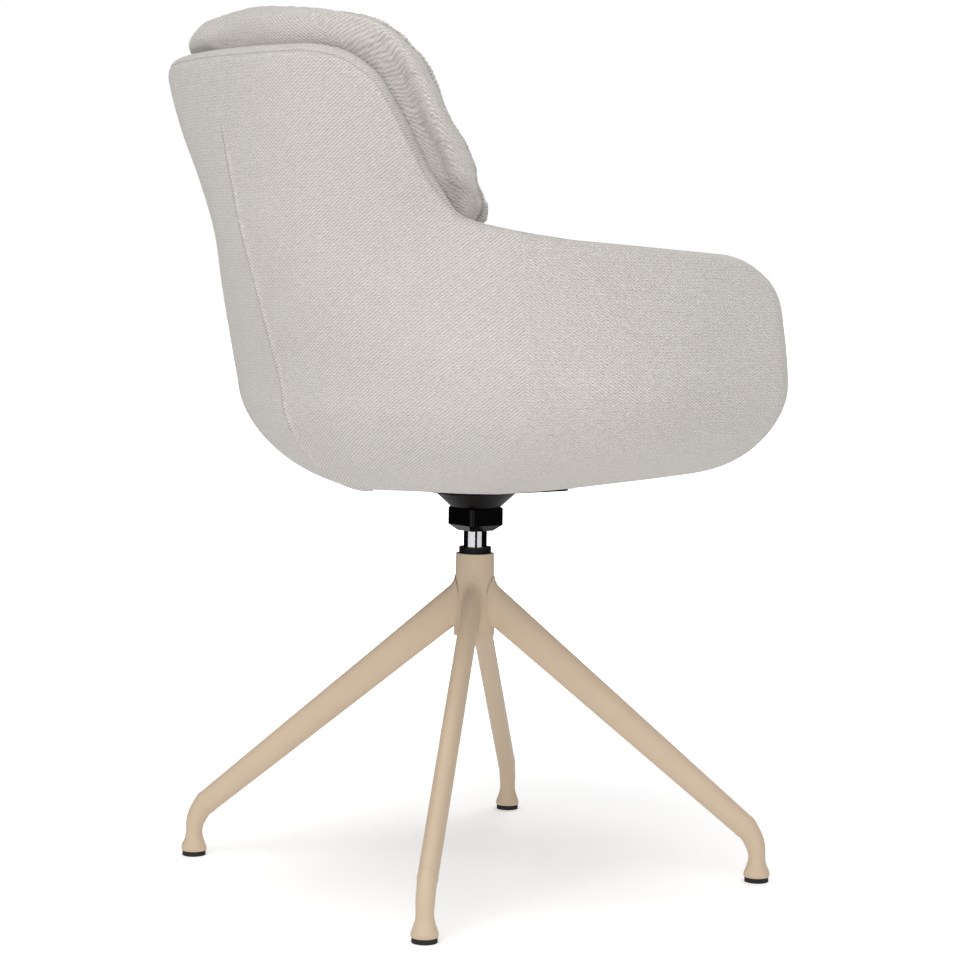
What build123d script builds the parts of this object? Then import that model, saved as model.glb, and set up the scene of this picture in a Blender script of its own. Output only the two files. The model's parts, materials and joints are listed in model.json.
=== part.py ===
from build123d import *
import math
import os

# Swivel dining chair: padded bucket shell with a loose back cushion and a seat
# cushion, on a spindle that turns in the hub of a four-legged steel base.
# Millimetres, +Z up, floor at z = 0, swivel axis on x = y = 0, sitter faces -Y,
# the sitter's left is +X.

# ---- running and seating clearances ----
running_gap = 0.05  # shaft in bush, radial
seat_gap = 0.3  # between two pieces that only rest against each other
soft_gap = 0.4  # round foam and fabric
seat_rest_gap = 1.0  # under the seat cushion
back_cushion_gap = 3.4  # behind the loose back cushion

# ---- base ----
foot_circle_r = 290.0  # swivel axis to the middle of each foot
foot_angles = {"front_left": -45.0, "front_right": -135.0, "rear_left": 45.0, "rear_right": 135.0}
hub_top = 323.0
hub_bottom = 240.0
hub_top_r = 19.25
hub_bottom_r = 20.5
hub_cap_thickness = 3.0

leg_hub_axis_z = 287.5  # height where a leg's centre line would meet the swivel axis
leg_slope = 0.838  # fall per millimetre outwards
leg_width = 19.0
leg_height_hub = 36.0
leg_height_knee = 24.0
leg_start_share = 0.03  # of the way from the swivel axis to the knee
leg_trim_drop = 40.0  # below the hub, where a leg's inner end is still cut round
knee_radius = 43.0
waist_diameter = 17.0
waist_share = 0.45  # of the way from the knee's end to the glide
pad_diameter = 25.0
glide_height = 5.0
glide_diameter = 24.0
glide_plug_diameter = 11.0
glide_plug_length = 12.0

# ---- swivel ----
spindle_r = 11.75
spindle_tail_r = 8.0  # thinner lower end that runs in the lower bush
bush_outer_r = 15.5
flange_r = 16.25
flange_top = 329.5
top_bush_length = 24.0  # below the hub's top
lower_bush_length = 26.0
washer_thickness = 2.0
washer_r = 13.0
screw_head_r = 8.0
screw_head_height = 4.0
screw_r = 3.0
screw_length = 18.0
screw_socket_r = 2.9
screw_socket_depth = 2.4

block_size = 41.6
block_top = 370.0
block_shoulder = 352.0
block_bottom = 346.0
block_bottom_size = 28.0
block_corner_r = 4.0
block_top_edge = 1.5
dish_top = 388.5
dish_bottom_r = 25.0
dish_top_r = 45.0
dish_edge_r = 4.0

# ---- seat support ----
plate_size = 140.0
plate_thickness = 3.0
plate_corner_r = 14.0
bolt_pitch = 104.0
bolt_r = 3.0
bolt_head_r = 5.6
bolt_head_height = 2.4  # countersunk into the plate
tee_nut_r = 9.0
tee_nut_flange = 1.5
tee_nut_barrel_r = 4.2
tee_nut_barrel_length = 9.0
bolt_hole_gap = 0.4
bolt_socket_r = 2.3
bolt_socket_depth = 1.8
bolt_tip_drop = 2.0  # bolt's end below the tee nut's flange
tip_space = 2.0  # left at the end of a tapped hole
dust_cover_thickness = 1.2
seat_board_thickness = 12.0

# ---- bucket shell, outside of the fabric ----
under_z = 393.0  # underside of the shell
waist_z = 500.0  # height where the shell is widest
waist_half_width = 290.0
belly_depth = 104.0  # how far the shell draws in below the waist, at the rear
belly_side_factor = 1.66  # the same at the sides, as a multiple
belly_power = 1.85
under_rise = 0.055  # the lower edge climbs this much per millimetre forward of the rear ribs
rib_centre_y = 60.0  # the rear ribs fan out from here
arm_front_y = -160.0
arm_nose_top_r = 62.0
arm_nose_bottom_r = 70.0
back_rim_z = 804.0
arm_rim_rear_z = 641.0
arm_rim_front_z = 619.0
wall_arm = 38.0  # padded wall thickness at the arms
wall_back = 26.0  # and at the back's upper edge
wall_under = 24.0  # and where it turns in under the seat
rim_roll = 14.0
nose_least_share = 0.02  # keeps the wall's front section from closing to a line
rear_rib_angles = (0, 10, 20, 28, 35, 42, 48, 54, 60, 67, 75, 82, 90)
arm_rib_steps = (40, 80, 115, 145, 168, 187, 201, 210, 216, 220)  # forward of the rib centre

# Plan shape at each height: half width, rearward reach, and y of the plan's centre.
plan_levels = {
    waist_z: (waist_half_width, 234.0, -55.0),
    594.0: (266.0, 264.0, -75.0),
    646.0: (258.0, 280.0, -90.0),
    694.0: (288.0, 291.0, -110.0),
    745.0: (336.0, 303.0, -130.0),
    806.0: (368.0, 317.0, -157.0),
}
# Rim height against the angle round the rear rib centre, from the middle of the back.
rim_levels = {
    0.0: 803.0,
    26.0: 803.0,
    34.0: 798.0,
    42.0: 777.0,
    48.0: 733.0,
    54.0: 686.0,
    63.0: 650.0,
    74.0: 641.0,
    90.0: 633.0,
}

# ---- moulded core inside the padded wall ----
core_depth = 11.0  # under the outer fabric face
core_thickness = 8.0
core_rim_drop = 13.0
core_front_y = -136.0
core_floor_extra = 1.0  # the floor is this much thicker on each face than the wall it joins
core_floor_inset = 3.0  # floor edge inside the padded wall's lower edge
core_lip = 12.0  # how far the core's wall runs into the floor
floor_front_y = -130.0
cover_front_y = -60.0  # dust cover and lower spacer stop short of the front
cover_inset = 12.0
spacer_inset = 4.0  # spacers' edges inside the layer next to them

# ---- cushions ----
seat_top_z = 484.0  # at the cushion's edge
seat_crown = 9.0
seat_front_y = -228.0
seat_front_bow = 38.0  # how far the front edge draws back at the sides
seat_front_round = 24.0  # length of the roll from the top to the front
seat_front_drop = 4.0  # fall of the top where that roll starts
seat_nose_z = 432.0  # lowest point of the cushion's front roll
seat_nose_r = 15.0
seat_nose_rise = 3.0  # from the nose's lowest line to its rear edge
seat_nose_side_rise = 0.6  # share of the nose's depth lost at the sides
seat_nose_gap = 4.0  # nose in front of the arms' front edge
seat_rear_round = 8.0
seat_side_gap = 26.0  # to the arms at the waist, where the walls lean in over the cushion
seat_rear_y = 150.0
seat_edge = 11.0  # thickness left at the cushion's drawn-in sides
seat_shares = (-1.0, -0.93, -0.82, -0.66, -0.4, 0.0, 0.4, 0.66, 0.82, 0.93, 1.0)
board_front_y = -150.0
board_lift = 14.0  # above the walls' lower ledge
board_half_width = 138.0
board_rear_y = 146.0
back_cushion_mid = 78.0  # thickness at the middle
back_cushion_side = 38.0  # and at the sides
back_side_bulge = 10.0
back_lean_above_rim = 0.25  # rearward per millimetre of height, above the rim
# Back cushion at each height: half width, share of full thickness, forward shift of its rear.
back_cushion_levels = {
    seat_top_z + seat_crown + soft_gap: (148.0, 0.70, 10.0),
    508.0: (154.0, 0.90, 4.0),
    540.0: (157.0, 1.00, 1.5),
    594.0: (154.0, 1.00, 1.5),
    646.0: (152.0, 1.00, 1.5),
    694.0: (158.0, 1.00, 2.0),
    745.0: (165.0, 1.00, 3.0),
    772.0: (163.0, 1.00, 4.5),
    796.0: (159.0, 1.00, 5.0),
    817.0: (150.0, 0.98, 7.0),
    829.0: (136.0, 0.90, 10.0),
    838.0: (108.0, 0.77, 15.0),
    844.0: (60.0, 0.56, 24.0),
    847.5: (24.0, 0.34, 31.0),
}

os.makedirs("parts", exist_ok=True)


def between(levels, at):
    """Smooth value through the listed levels, flat slopes at their ends."""
    keys = sorted(levels)
    if at <= keys[0]:
        return levels[keys[0]]
    if at >= keys[-1]:
        return levels[keys[-1]]
    i = max(k for k in range(len(keys) - 1) if keys[k] <= at)

    def slope(k):
        if k == 0 or k == len(keys) - 1:
            j = min(k, len(keys) - 2)
            return (levels[keys[j + 1]] - levels[keys[j]]) / (keys[j + 1] - keys[j])
        left = (levels[keys[k]] - levels[keys[k - 1]]) / (keys[k] - keys[k - 1])
        right = (levels[keys[k + 1]] - levels[keys[k]]) / (keys[k + 1] - keys[k])
        return 0.0 if left * right <= 0 else 2 * left * right / (left + right)

    step = keys[i + 1] - keys[i]
    t = (at - keys[i]) / step
    a, b = levels[keys[i]], levels[keys[i + 1]]
    return (
        a * (2 * t**3 - 3 * t**2 + 1)
        + slope(i) * step * (t**3 - 2 * t**2 + t)
        + b * (3 * t**2 - 2 * t**3)
        + slope(i + 1) * step * (t**3 - t**2)
    )


def plan_at(z):
    rows = sorted(plan_levels)
    z = min(max(z, rows[0]), rows[-1])
    return [between({row: plan_levels[row][k] for row in rows}, z) for k in range(3)]


# A station is one rib of the shell: its plane stands upright, through the point
# (0, origin_y), and runs out in the direction (dx, dy).
def rear_station(angle):
    a = math.radians(angle)
    return {"origin": (0.0, rib_centre_y), "way": (math.sin(a), math.cos(a)), "angle": angle}


def arm_station(y):
    return {"origin": (0.0, y), "way": (1.0, 0.0), "angle": 90.0}


def lower_edge(station):
    """Height of the shell's lower edge, which climbs towards the front."""
    return under_z + under_rise * (rib_centre_y - station["origin"][1])


def reach(station, z):
    """Distance from the station's origin to the shell's outside at height z."""
    half_width, rear, centre_y = plan_at(z)
    draw_in = 0.0
    if z < waist_z:
        fall = min((waist_z - z) / (waist_z - lower_edge(station)), 1.0)
        draw_in = belly_depth * (1 - (1 - fall**belly_power) ** (1 / belly_power))
    dx, dy = station["way"]
    side = 1 + (belly_side_factor - 1) * dx * dx
    a = half_width
    b = rear - centre_y
    offset_y = station["origin"][1] - centre_y
    if offset_y < 0:
        return a - draw_in * side
    p = (dx / a) ** 2 + (dy / b) ** 2
    q = 2 * dy * offset_y / b**2
    r = (offset_y / b) ** 2 - 1
    return (-q + math.sqrt(q * q - 4 * p * r)) / (2 * p) - draw_in * side


def nose_cut(station, radius):
    """Height lost at the arm's front, where a corner of this radius rounds the side view."""
    into = station["origin"][1] - arm_front_y
    if station["way"] != (1.0, 0.0) or into >= radius:
        return 0.0
    return radius - math.sqrt(max(radius**2 - (radius - into) ** 2, 0.0))


def rim_height(station):
    y = station["origin"][1]
    if station["way"] != (1.0, 0.0):
        return between(rim_levels, station["angle"])
    run = (rib_centre_y - y) / (rib_centre_y - arm_front_y)
    level = rim_levels[90.0] + (arm_rim_front_z - rim_levels[90.0]) * run
    return level - nose_cut(station, arm_nose_top_r)


def wall_at(station):
    """Wall thickness: thin at the upper back, full at the arms, closing at the nose."""
    if station["way"] != (1.0, 0.0):
        share = (back_rim_z - rim_height(station)) / (back_rim_z - arm_rim_rear_z)
        return wall_back + (wall_arm - wall_back) * min(max(share, 0.0), 1.0)
    into = station["origin"][1] - arm_front_y
    half = wall_arm / 2
    if into >= half:
        return wall_arm
    return wall_arm * math.sqrt(max(1 - (1 - into / half) ** 2, nose_least_share))


def outside_point(station, t):
    """Point (r, z) on the shell's outside: t = 0 at its lower edge, 1 at the waist, 2 at the rim."""
    belly = waist_z - lower_edge(station)
    lowest = lower_edge(station) + nose_cut(station, arm_nose_bottom_r)
    if t < 1:
        start = math.asin(min((waist_z - lowest) / belly, 1.0) ** (belly_power / 2))
        z = waist_z - belly * math.sin(start * (1 - t)) ** (2 / belly_power)
    else:
        z = waist_z + (t - 1) * (rim_height(station) - waist_z)
    return reach(station, z), z


def along(station, t):
    """Unit direction of the outside's profile at t, towards the rim."""
    step = 0.01
    r0, z0 = outside_point(station, max(t - step, 0.0))
    r1, z1 = outside_point(station, min(t + step, 2.0))
    length = math.hypot(r1 - r0, z1 - z0)
    return (r1 - r0) / length, (z1 - z0) / length


def under_skin(station, t, depth):
    """Point at this depth inside the outside, square to it."""
    r, z = outside_point(station, t)
    dr, dz = along(station, t)
    return r - dz * depth, z + dr * depth


def place(station, point):
    r, z = point
    return (station["origin"][0] + r * station["way"][0], station["origin"][1] + r * station["way"][1], z)


def depth_at(station, t, thickness):
    """The padded wall's depth at t: thinner where it turns in under the seat."""
    if t >= 1:
        return thickness
    under = min(wall_under, thickness)
    return under + (thickness - under) * (t * t * (3 - 2 * t))


def matched_spline(points, places=None):
    """Spline with its points at set parameters, so that neighbouring sections match."""
    places = places or list(range(len(points)))
    span = places[-1] - places[0]
    return Edge.make_spline(points, parameters=[(p - places[0]) / span for p in places])


def rib(station, outer, inner, drop, lip=0.0):
    """Closed rib between two depths; its top edge is rolled and lies drop below the rim."""
    top_r = min((inner(2.0) - outer) / 2, rim_roll)
    rise = rim_height(station) - waist_z
    top_t = 2 - (top_r + drop) / rise
    belly = [k / 5 for k in range(5)]
    upper = [1 + k / 6 for k in range(7)]
    out_places = belly + upper
    in_places = belly[:-1] + upper  # the inner line turns tightly at the waist

    def t_of(share):
        return share if share < 1 else 1 + (top_t - 1) * (share - 1)

    out_line = [under_skin(station, t_of(p), outer) for p in out_places]
    in_line = [under_skin(station, t_of(p), inner(t_of(p))) for p in in_places]
    if lip:
        out_line.insert(0, (out_line[0][0] - lip, out_line[0][1]))
        in_line.insert(0, (in_line[0][0] - lip, in_line[0][1]))
        out_places.insert(0, -lip / belly_depth)
        in_places.insert(0, -lip / belly_depth)
    dr, dz = along(station, top_t)
    mid_r = (out_line[-1][0] + in_line[-1][0]) / 2 + dr * top_r
    mid_z = (out_line[-1][1] + in_line[-1][1]) / 2 + dz * top_r
    outline = [place(station, p) for p in out_line]
    inline = [place(station, p) for p in reversed(in_line)]
    edges = [
        matched_spline(outline, out_places),
        ThreePointArc(outline[-1], place(station, (mid_r, mid_z)), inline[0]),
        matched_spline(inline, [-p for p in reversed(in_places)]),
        Line(inline[-1], outline[0]),
    ]
    return Face(Wire(edges))


def stations(front_y):
    rear = [rear_station(angle) for angle in rear_rib_angles]
    ys = [rib_centre_y - step for step in arm_rib_steps if rib_centre_y - step > front_y + 5]
    return rear + [arm_station(y) for y in ys + [front_y]]


def wall_half(grow=0.0):
    """Padded wall of the sitter's left half, or the space it needs if grown."""
    ribs = []
    for station in stations(arm_front_y):
        thickness = wall_at(station)

        def inner(t, station=station, thickness=thickness):
            return depth_at(station, t, thickness) + grow

        ribs.append(rib(station, -grow, inner, -grow))
    return loft(ribs)


def core_half(grow=0.0):
    """Band of the moulded core inside the left wall, or its slot if grown."""
    ribs = []
    for station in stations(core_front_y - grow):

        def inner(t):
            return core_depth + core_thickness + grow

        ribs.append(rib(station, core_depth - grow, inner, core_rim_drop - grow, core_lip))
    return loft(ribs)


def floor_outline(inset, front_y):
    """Plan of the opening between the walls' lower edges, drawn in by inset."""
    edge = []
    for angle in (0, 15, 30, 45, 60, 75, 90):
        station = rear_station(angle)
        r, z = outside_point(station, 0.0)
        x, y, z = place(station, (r - inset, z))
        edge.append((x, y))
    side_x = edge[-1][0]
    left = edge + [(side_x, front_y)]
    rear_curve = Spline(*[(-x, y) for x, y in reversed(edge)], *edge[1:])
    sides = Polyline(edge[-1], left[-1], (-side_x, front_y), (-side_x, edge[-1][1]))
    return make_face(Wire([rear_curve, *sides.edges()]))


def slab(face, low, high):
    return extrude(face.moved(Location((0, 0, low))), high - low, dir=(0, 0, 1))


def cylinder(radius, low, high, x=0.0, y=0.0):
    return Pos(x, y, (low + high) / 2) * Cylinder(radius, high - low)


def cone(low_r, high_r, low, high):
    return Pos(0, 0, (low + high) / 2) * Cone(low_r, high_r, high - low)


def bolt_places():
    half = bolt_pitch / 2
    return [(x, y) for x in (-half, half) for y in (-half, half)]


def drilled(solid, radius, low, high):
    for x, y in bolt_places():
        solid -= cylinder(radius, low - 1, high + 1, x, y)
    return solid


# ---- base ----
def base_hub():
    hub = cone(hub_bottom_r, hub_top_r, hub_bottom, hub_top)
    return hub - cylinder(bush_outer_r, hub_bottom - 1, hub_top + 1)


def leg_axis():
    """Leg centre line in its own upright plane, as (distance from the swivel axis, height)."""
    corner_z = leg_hub_axis_z - leg_slope * foot_circle_r
    slope = math.atan(leg_slope)
    tangent = knee_radius * math.tan((math.pi / 2 - slope) / 2)
    start = (0.0, leg_hub_axis_z)
    knee_in = (foot_circle_r - tangent * math.cos(slope), corner_z + tangent * math.sin(slope))
    knee_out = (foot_circle_r, corner_z - tangent)
    return start, knee_in, knee_out


def leg(angle):
    """Oval tube that tapers to a round waist and flares to the foot."""
    start, knee_in, knee_out = leg_axis()
    slope = math.atan(leg_slope)
    way = (math.cos(math.radians(angle)), math.sin(math.radians(angle)))

    def section(r, z, fall, width, height):
        axis = (way[0] * math.cos(fall), way[1] * math.cos(fall), -math.sin(fall))
        upper_side = (way[0] * math.sin(fall), way[1] * math.sin(fall), math.cos(fall))
        plane = Plane(origin=(way[0] * r, way[1] * r, z), x_dir=upper_side, z_dir=axis)
        turns = [math.radians(30 * k) for k in range(12)]
        ring = [(height / 2 * math.cos(a), width / 2 * math.sin(a)) for a in turns]
        even = [k / len(ring) for k in range(len(ring) + 1)]
        return plane * Face(Wire([Edge.make_spline(ring, periodic=True, parameters=even)]))

    def straight(share):
        r = knee_in[0] * share
        z = start[1] + (knee_in[1] - start[1]) * share
        height = leg_height_hub + (leg_height_knee - leg_height_hub) * share
        return section(r, z, slope, leg_width, height)

    turn = math.pi / 2 - slope
    centre = (foot_circle_r - knee_radius, knee_out[1])
    knee = [straight(1.0)]
    for share in (0.25, 0.5, 0.75, 1.0):
        fall = slope + turn * share
        r = centre[0] + knee_radius * math.sin(fall)
        z = centre[1] + knee_radius * math.cos(fall)
        width = leg_width + (waist_diameter - leg_width) * share
        height = leg_height_knee + (waist_diameter - leg_height_knee) * share
        knee.append(section(r, z, fall, width, height))
    for share in (waist_share, 1.0):
        z = knee_out[1] + (glide_height - knee_out[1]) * share
        width = waist_diameter + (pad_diameter - waist_diameter) * share
        knee.append(section(foot_circle_r, z, math.pi / 2, width, width))
    body = loft([straight(leg_start_share), straight(1.0)], ruled=True) + loft(knee)
    hub_space = cone(hub_bottom_r, hub_top_r, hub_bottom, hub_top)
    hub_space += cylinder(hub_bottom_r, hub_bottom - leg_trim_drop, hub_bottom)
    plug = cylinder(
        glide_plug_diameter / 2 + running_gap,
        glide_height - 1,
        glide_height + glide_plug_length + seat_gap,
        way[0] * foot_circle_r,
        way[1] * foot_circle_r,
    )
    return body - hub_space - plug


def glide(angle):
    x = foot_circle_r * math.cos(math.radians(angle))
    y = foot_circle_r * math.sin(math.radians(angle))
    foot = cylinder(glide_diameter / 2, 0, glide_height, x, y)
    return foot + cylinder(glide_plug_diameter / 2, 0, glide_height + glide_plug_length, x, y)


def top_bush():
    bush = cylinder(flange_r, hub_top + seat_gap, flange_top)
    bush += cylinder(bush_outer_r - running_gap, hub_top - top_bush_length, flange_top)
    return bush - cylinder(spindle_r + running_gap, hub_top - top_bush_length - 1, flange_top + 1)


def spindle_step_z():
    """Height of the shoulder where the spindle steps down to its tail."""
    return spindle_bottom_z() + lower_bush_length + washer_thickness + 2 * seat_gap


def spindle_bottom_z():
    return hub_bottom + hub_cap_thickness + screw_head_height + washer_thickness + 2 * seat_gap


def lower_bush():
    high = spindle_step_z() - washer_thickness - seat_gap
    bush = cylinder(bush_outer_r - running_gap, high - lower_bush_length, high)
    return bush - cylinder(spindle_tail_r + running_gap, high - lower_bush_length - 1, high + 1)


def thrust_washer():
    high = spindle_step_z() - seat_gap / 2
    washer = cylinder(washer_r, high - washer_thickness, high)
    return washer - cylinder(spindle_tail_r + running_gap, high - washer_thickness - 1, high + 1)


def hub_cap():
    low = hub_bottom + seat_gap
    return cylinder(bush_outer_r - running_gap, low, low + hub_cap_thickness - seat_gap)


# ---- spindle and its fixings, turning with the seat ----
def spindle():
    low = spindle_bottom_z()
    shaft = cylinder(spindle_r, spindle_step_z(), block_shoulder)
    shaft += cylinder(spindle_tail_r, low, spindle_step_z())
    return shaft - cylinder(screw_r, low - 1, low + screw_length)


def retaining_washer():
    high = spindle_bottom_z()
    washer = cylinder(washer_r, high - washer_thickness, high)
    return washer - cylinder(screw_r, high - washer_thickness - 1, high + 1)


def retaining_screw():
    high = spindle_bottom_z() - washer_thickness
    head = cylinder(screw_head_r, high - screw_head_height, high)
    socket = extrude(RegularPolygon(screw_socket_r, 6), screw_socket_depth)
    shank = cylinder(screw_r, high, spindle_bottom_z() + screw_length - tip_space)
    return head + shank - Pos(0, 0, high - screw_head_height) * socket


def swivel_block():
    """Square block on the spindle, drawn in below and round above, where the dish sits."""
    square = RectangleRounded(block_size, block_size, block_corner_r)
    small_square = RectangleRounded(block_bottom_size, block_bottom_size, block_corner_r)
    upper = slab(square, block_shoulder, block_top)
    upper = chamfer(upper.faces().sort_by(Axis.Z)[-1].edges(), block_top_edge)
    lower = loft([Pos(0, 0, block_bottom) * small_square, Pos(0, 0, block_shoulder) * square])
    return upper + lower - cylinder(spindle_r, block_bottom - 1, block_shoulder)


def dish_cover():
    dish = cone(dish_bottom_r, dish_top_r, block_top, dish_top)
    return fillet(dish.faces().sort_by(Axis.Z)[0].edges(), dish_edge_r)


def seat_plate():
    plate = slab(RectangleRounded(plate_size, plate_size, plate_corner_r), dish_top, plate_top())
    plate = drilled(plate, bolt_r + bolt_hole_gap, dish_top, plate_top())
    for x, y in bolt_places():
        plate -= Pos(x, y, 0) * countersink(bolt_hole_gap)
    return plate


def countersink(grow):
    """Cone of a bolt's flat head, or its seat if grown."""
    return cone(bolt_head_r + grow, bolt_r + grow, dish_top, dish_top + bolt_head_height)


def plate_top():
    return dish_top + plate_thickness


def floor_low():
    return under_z + core_depth - core_floor_extra


def floor_high():
    return under_z + core_depth + core_thickness + core_floor_extra


def dust_cover():
    low = plate_top() + seat_gap
    cover = slab(floor_outline(cover_inset, cover_front_y), low, low + dust_cover_thickness)
    return drilled(cover, bolt_r + bolt_hole_gap, low, low + dust_cover_thickness)


def lower_spacer():
    low = plate_top() + seat_gap + dust_cover_thickness + seat_gap
    outline = floor_outline(cover_inset + spacer_inset, cover_front_y + spacer_inset)
    spacer = slab(outline, low, floor_low() - seat_gap)
    return drilled(spacer, bolt_r + bolt_hole_gap, low, floor_low())


def shell_core():
    """Moulded one-piece core: a band up each side of the bucket, and its floor."""
    left = core_half()
    floor = slab(floor_outline(core_floor_inset, floor_front_y), floor_low(), floor_high())
    core = left + mirror(left, about=Plane.YZ) + floor
    return drilled(core, bolt_r + bolt_hole_gap, floor_low(), floor_high())


def board_low():
    return under_z + wall_under + board_lift


def board_high():
    return board_low() + seat_board_thickness


def upper_spacer():
    low = floor_high() + seat_gap
    outline = floor_outline(core_floor_inset + spacer_inset, floor_front_y + spacer_inset)
    spacer = slab(outline, low, board_low() - seat_gap)
    return drilled(spacer, tee_nut_barrel_r + bolt_hole_gap, low, board_low())


def seat_board():
    board = slab(plan_oval(board_half_width, board_rear_y, board_front_y), board_low(), board_high())
    board = drilled(board, tee_nut_barrel_r + bolt_hole_gap, board_low(), board_high())
    recess_r = tee_nut_r + bolt_hole_gap
    for x, y in bolt_places():
        board -= cylinder(recess_r, board_high() - tee_nut_flange, board_high() + 1, x, y)
    return board


def plan_oval(half_width, rear_y, front_y):
    """D-shaped plan: elliptical at the rear, straight sides and a straight front."""
    centre_y = plan_at(waist_z)[2]
    turns = [math.radians(a) for a in range(-90, 91, 18)]
    rear = [(half_width * math.sin(a), centre_y + (rear_y - centre_y) * math.cos(a)) for a in turns]
    sides = Polyline(rear[-1], (half_width, front_y), (-half_width, front_y), rear[0])
    return make_face(Wire([Spline(*rear), *sides.edges()]))


def bolts():
    tip = board_high() - tee_nut_flange - bolt_tip_drop
    socket = extrude(RegularPolygon(bolt_socket_r, 6), bolt_socket_depth)
    parts = []
    for x, y in bolt_places():
        bolt = Pos(x, y, 0) * countersink(0.0) + cylinder(bolt_r, dish_top, tip, x, y)
        parts.append(bolt - Pos(x, y, dish_top) * socket)
    return Compound(children=parts)


def tee_nuts():
    top = board_high()
    low = top - tee_nut_flange - tee_nut_barrel_length
    parts = []
    for x, y in bolt_places():
        nut = cylinder(tee_nut_r, top - tee_nut_flange, top, x, y)
        nut += cylinder(tee_nut_barrel_r, low, top - tee_nut_flange, x, y)
        parts.append(nut - cylinder(bolt_r + running_gap, low - 1, top + 1, x, y))
    return Compound(children=parts)


# ---- padding ----
def padded_wall(side):
    wall = wall_half()
    slot = core_half(seat_gap)
    if side == "left":
        return wall - slot
    return mirror(wall, about=Plane.YZ) - mirror(slot, about=Plane.YZ)


def seat_cushion():
    """Sections across the seat, each a closed side profile with a crown and a front roll."""
    rest_z = board_high() + seat_rest_gap
    centre_y = plan_at(waist_z)[2]
    half_width = waist_half_width - wall_arm - seat_side_gap
    sections = []
    for share in seat_shares:
        x = half_width * share
        side = abs(share)
        narrowing = math.sqrt(1 - (x / (half_width + seat_edge)) ** 2)
        rear = centre_y + (seat_rear_y - centre_y) * narrowing
        top = seat_top_z + seat_crown * (1 - side**2)
        low = rest_z + (seat_top_z - seat_edge - rest_z) * side**8
        front = seat_front_y + seat_front_bow * side**4
        nose_low = seat_nose_z + (low - seat_nose_z) * side**4 * seat_nose_side_rise
        nose_back = arm_front_y - seat_nose_gap
        nose_y = front + seat_nose_r
        r = (top - low) / 2
        mid = (top + low) / 2
        points = {
            "rear_low": (x, rear - r, low),
            "rear": (x, rear, mid),
            "rear_top": (x, rear - seat_rear_round, top),
            "top": (x, (rear + front) / 2, top),
            "front_top": (x, front + seat_front_round, top - seat_front_drop),
            "front": (x, front, (top + nose_low) / 2),
            "nose": (x, nose_y, nose_low),
            "nose_under": (x, (nose_y + nose_back) / 2, nose_low + seat_nose_rise / 3),
            "nose_back": (x, nose_back, nose_low + seat_nose_rise),
            "step": (x, nose_back, low),
        }
        edges = [
            matched_spline([points["rear_low"], points["rear"], points["rear_top"]]),
            matched_spline([points["rear_top"], points["top"], points["front_top"]]),
            matched_spline([points["front_top"], points["front"], points["nose"]]),
            matched_spline([points["nose"], points["nose_under"], points["nose_back"]]),
            Line(points["nose_back"], points["step"]),
            Line(points["step"], points["rear_low"]),
        ]
        sections.append(Face(Wire(edges)))
    return loft(sections)


def inside_reach(angle, z):
    """Distance from the rear rib centre to the padded wall's inside, carried on above the rim."""
    station = rear_station(angle)
    slope = (reach(station, z + 1) - reach(station, z - 1)) / 2
    return reach(station, z) - wall_at(station) * math.hypot(1.0, slope)


def back_rear_y(x, z):
    """Rear face of the back cushion: the inside of the padded wall, less a gap."""
    low, high = 0.0, 90.0
    for _ in range(30):
        angle = (low + high) / 2
        if inside_reach(angle, z) * math.sin(math.radians(angle)) < abs(x):
            low = angle
        else:
            high = angle
    inside_y = rib_centre_y + inside_reach(angle, z) * math.cos(math.radians(angle))
    return inside_y - back_cushion_gap + max(z - back_rim_z, 0.0) * back_lean_above_rim


def back_cushion():
    """Level sections of the back cushion, which follows the inside of the padded wall."""
    sections = []
    for z in sorted(back_cushion_levels):
        half, share, shift = back_cushion_levels[z]
        xs = [half * k / 5 for k in range(-5, 6)]
        rear = [(x, back_rear_y(x, z) - shift, z) for x in xs]
        front = []
        for x in reversed(xs):
            side = abs(x / half)
            thickness = back_cushion_mid + (back_cushion_side - back_cushion_mid) * side**2
            front.append((x, back_rear_y(x, z) - shift - thickness * share, z))
        bulge = back_side_bulge * share
        right_mid = (half + bulge, (rear[-1][1] + front[0][1]) / 2, z)
        left_mid = (-half - bulge, (rear[0][1] + front[-1][1]) / 2, z)
        edges = [
            matched_spline(rear),
            ThreePointArc(rear[-1], right_mid, front[0]),
            matched_spline(front),
            ThreePointArc(front[-1], left_mid, rear[0]),
        ]
        sections.append(Face(Wire(edges)))
    return loft(sections)


def write(name, shape):
    export_step(shape, "parts/" + name + ".step")


write("base_hub", base_hub())
for name, angle in foot_angles.items():
    write("leg_" + name, leg(angle))
    write("glide_" + name, glide(angle))
write("top_bush", top_bush())
write("lower_bush", lower_bush())
write("thrust_washer", thrust_washer())
write("hub_cap", hub_cap())
write("spindle", spindle())
write("retaining_washer", retaining_washer())
write("retaining_screw", retaining_screw())
write("swivel_block", swivel_block())
write("dish_cover", dish_cover())
write("seat_plate", seat_plate())
write("dust_cover", dust_cover())
write("lower_spacer", lower_spacer())
write("shell_core", shell_core())
write("upper_spacer", upper_spacer())
write("seat_board", seat_board())
write("seat_bolts", bolts())
write("tee_nuts", tee_nuts())
write("padded_wall_left", padded_wall("left"))
write("padded_wall_right", padded_wall("right"))
write("seat_cushion", seat_cushion())
write("back_cushion", back_cushion())
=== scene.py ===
import json
import math

import bmesh
import bpy
import numpy as np
from mathutils import Matrix, Vector
from mathutils.bvhtree import BVHTree


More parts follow.
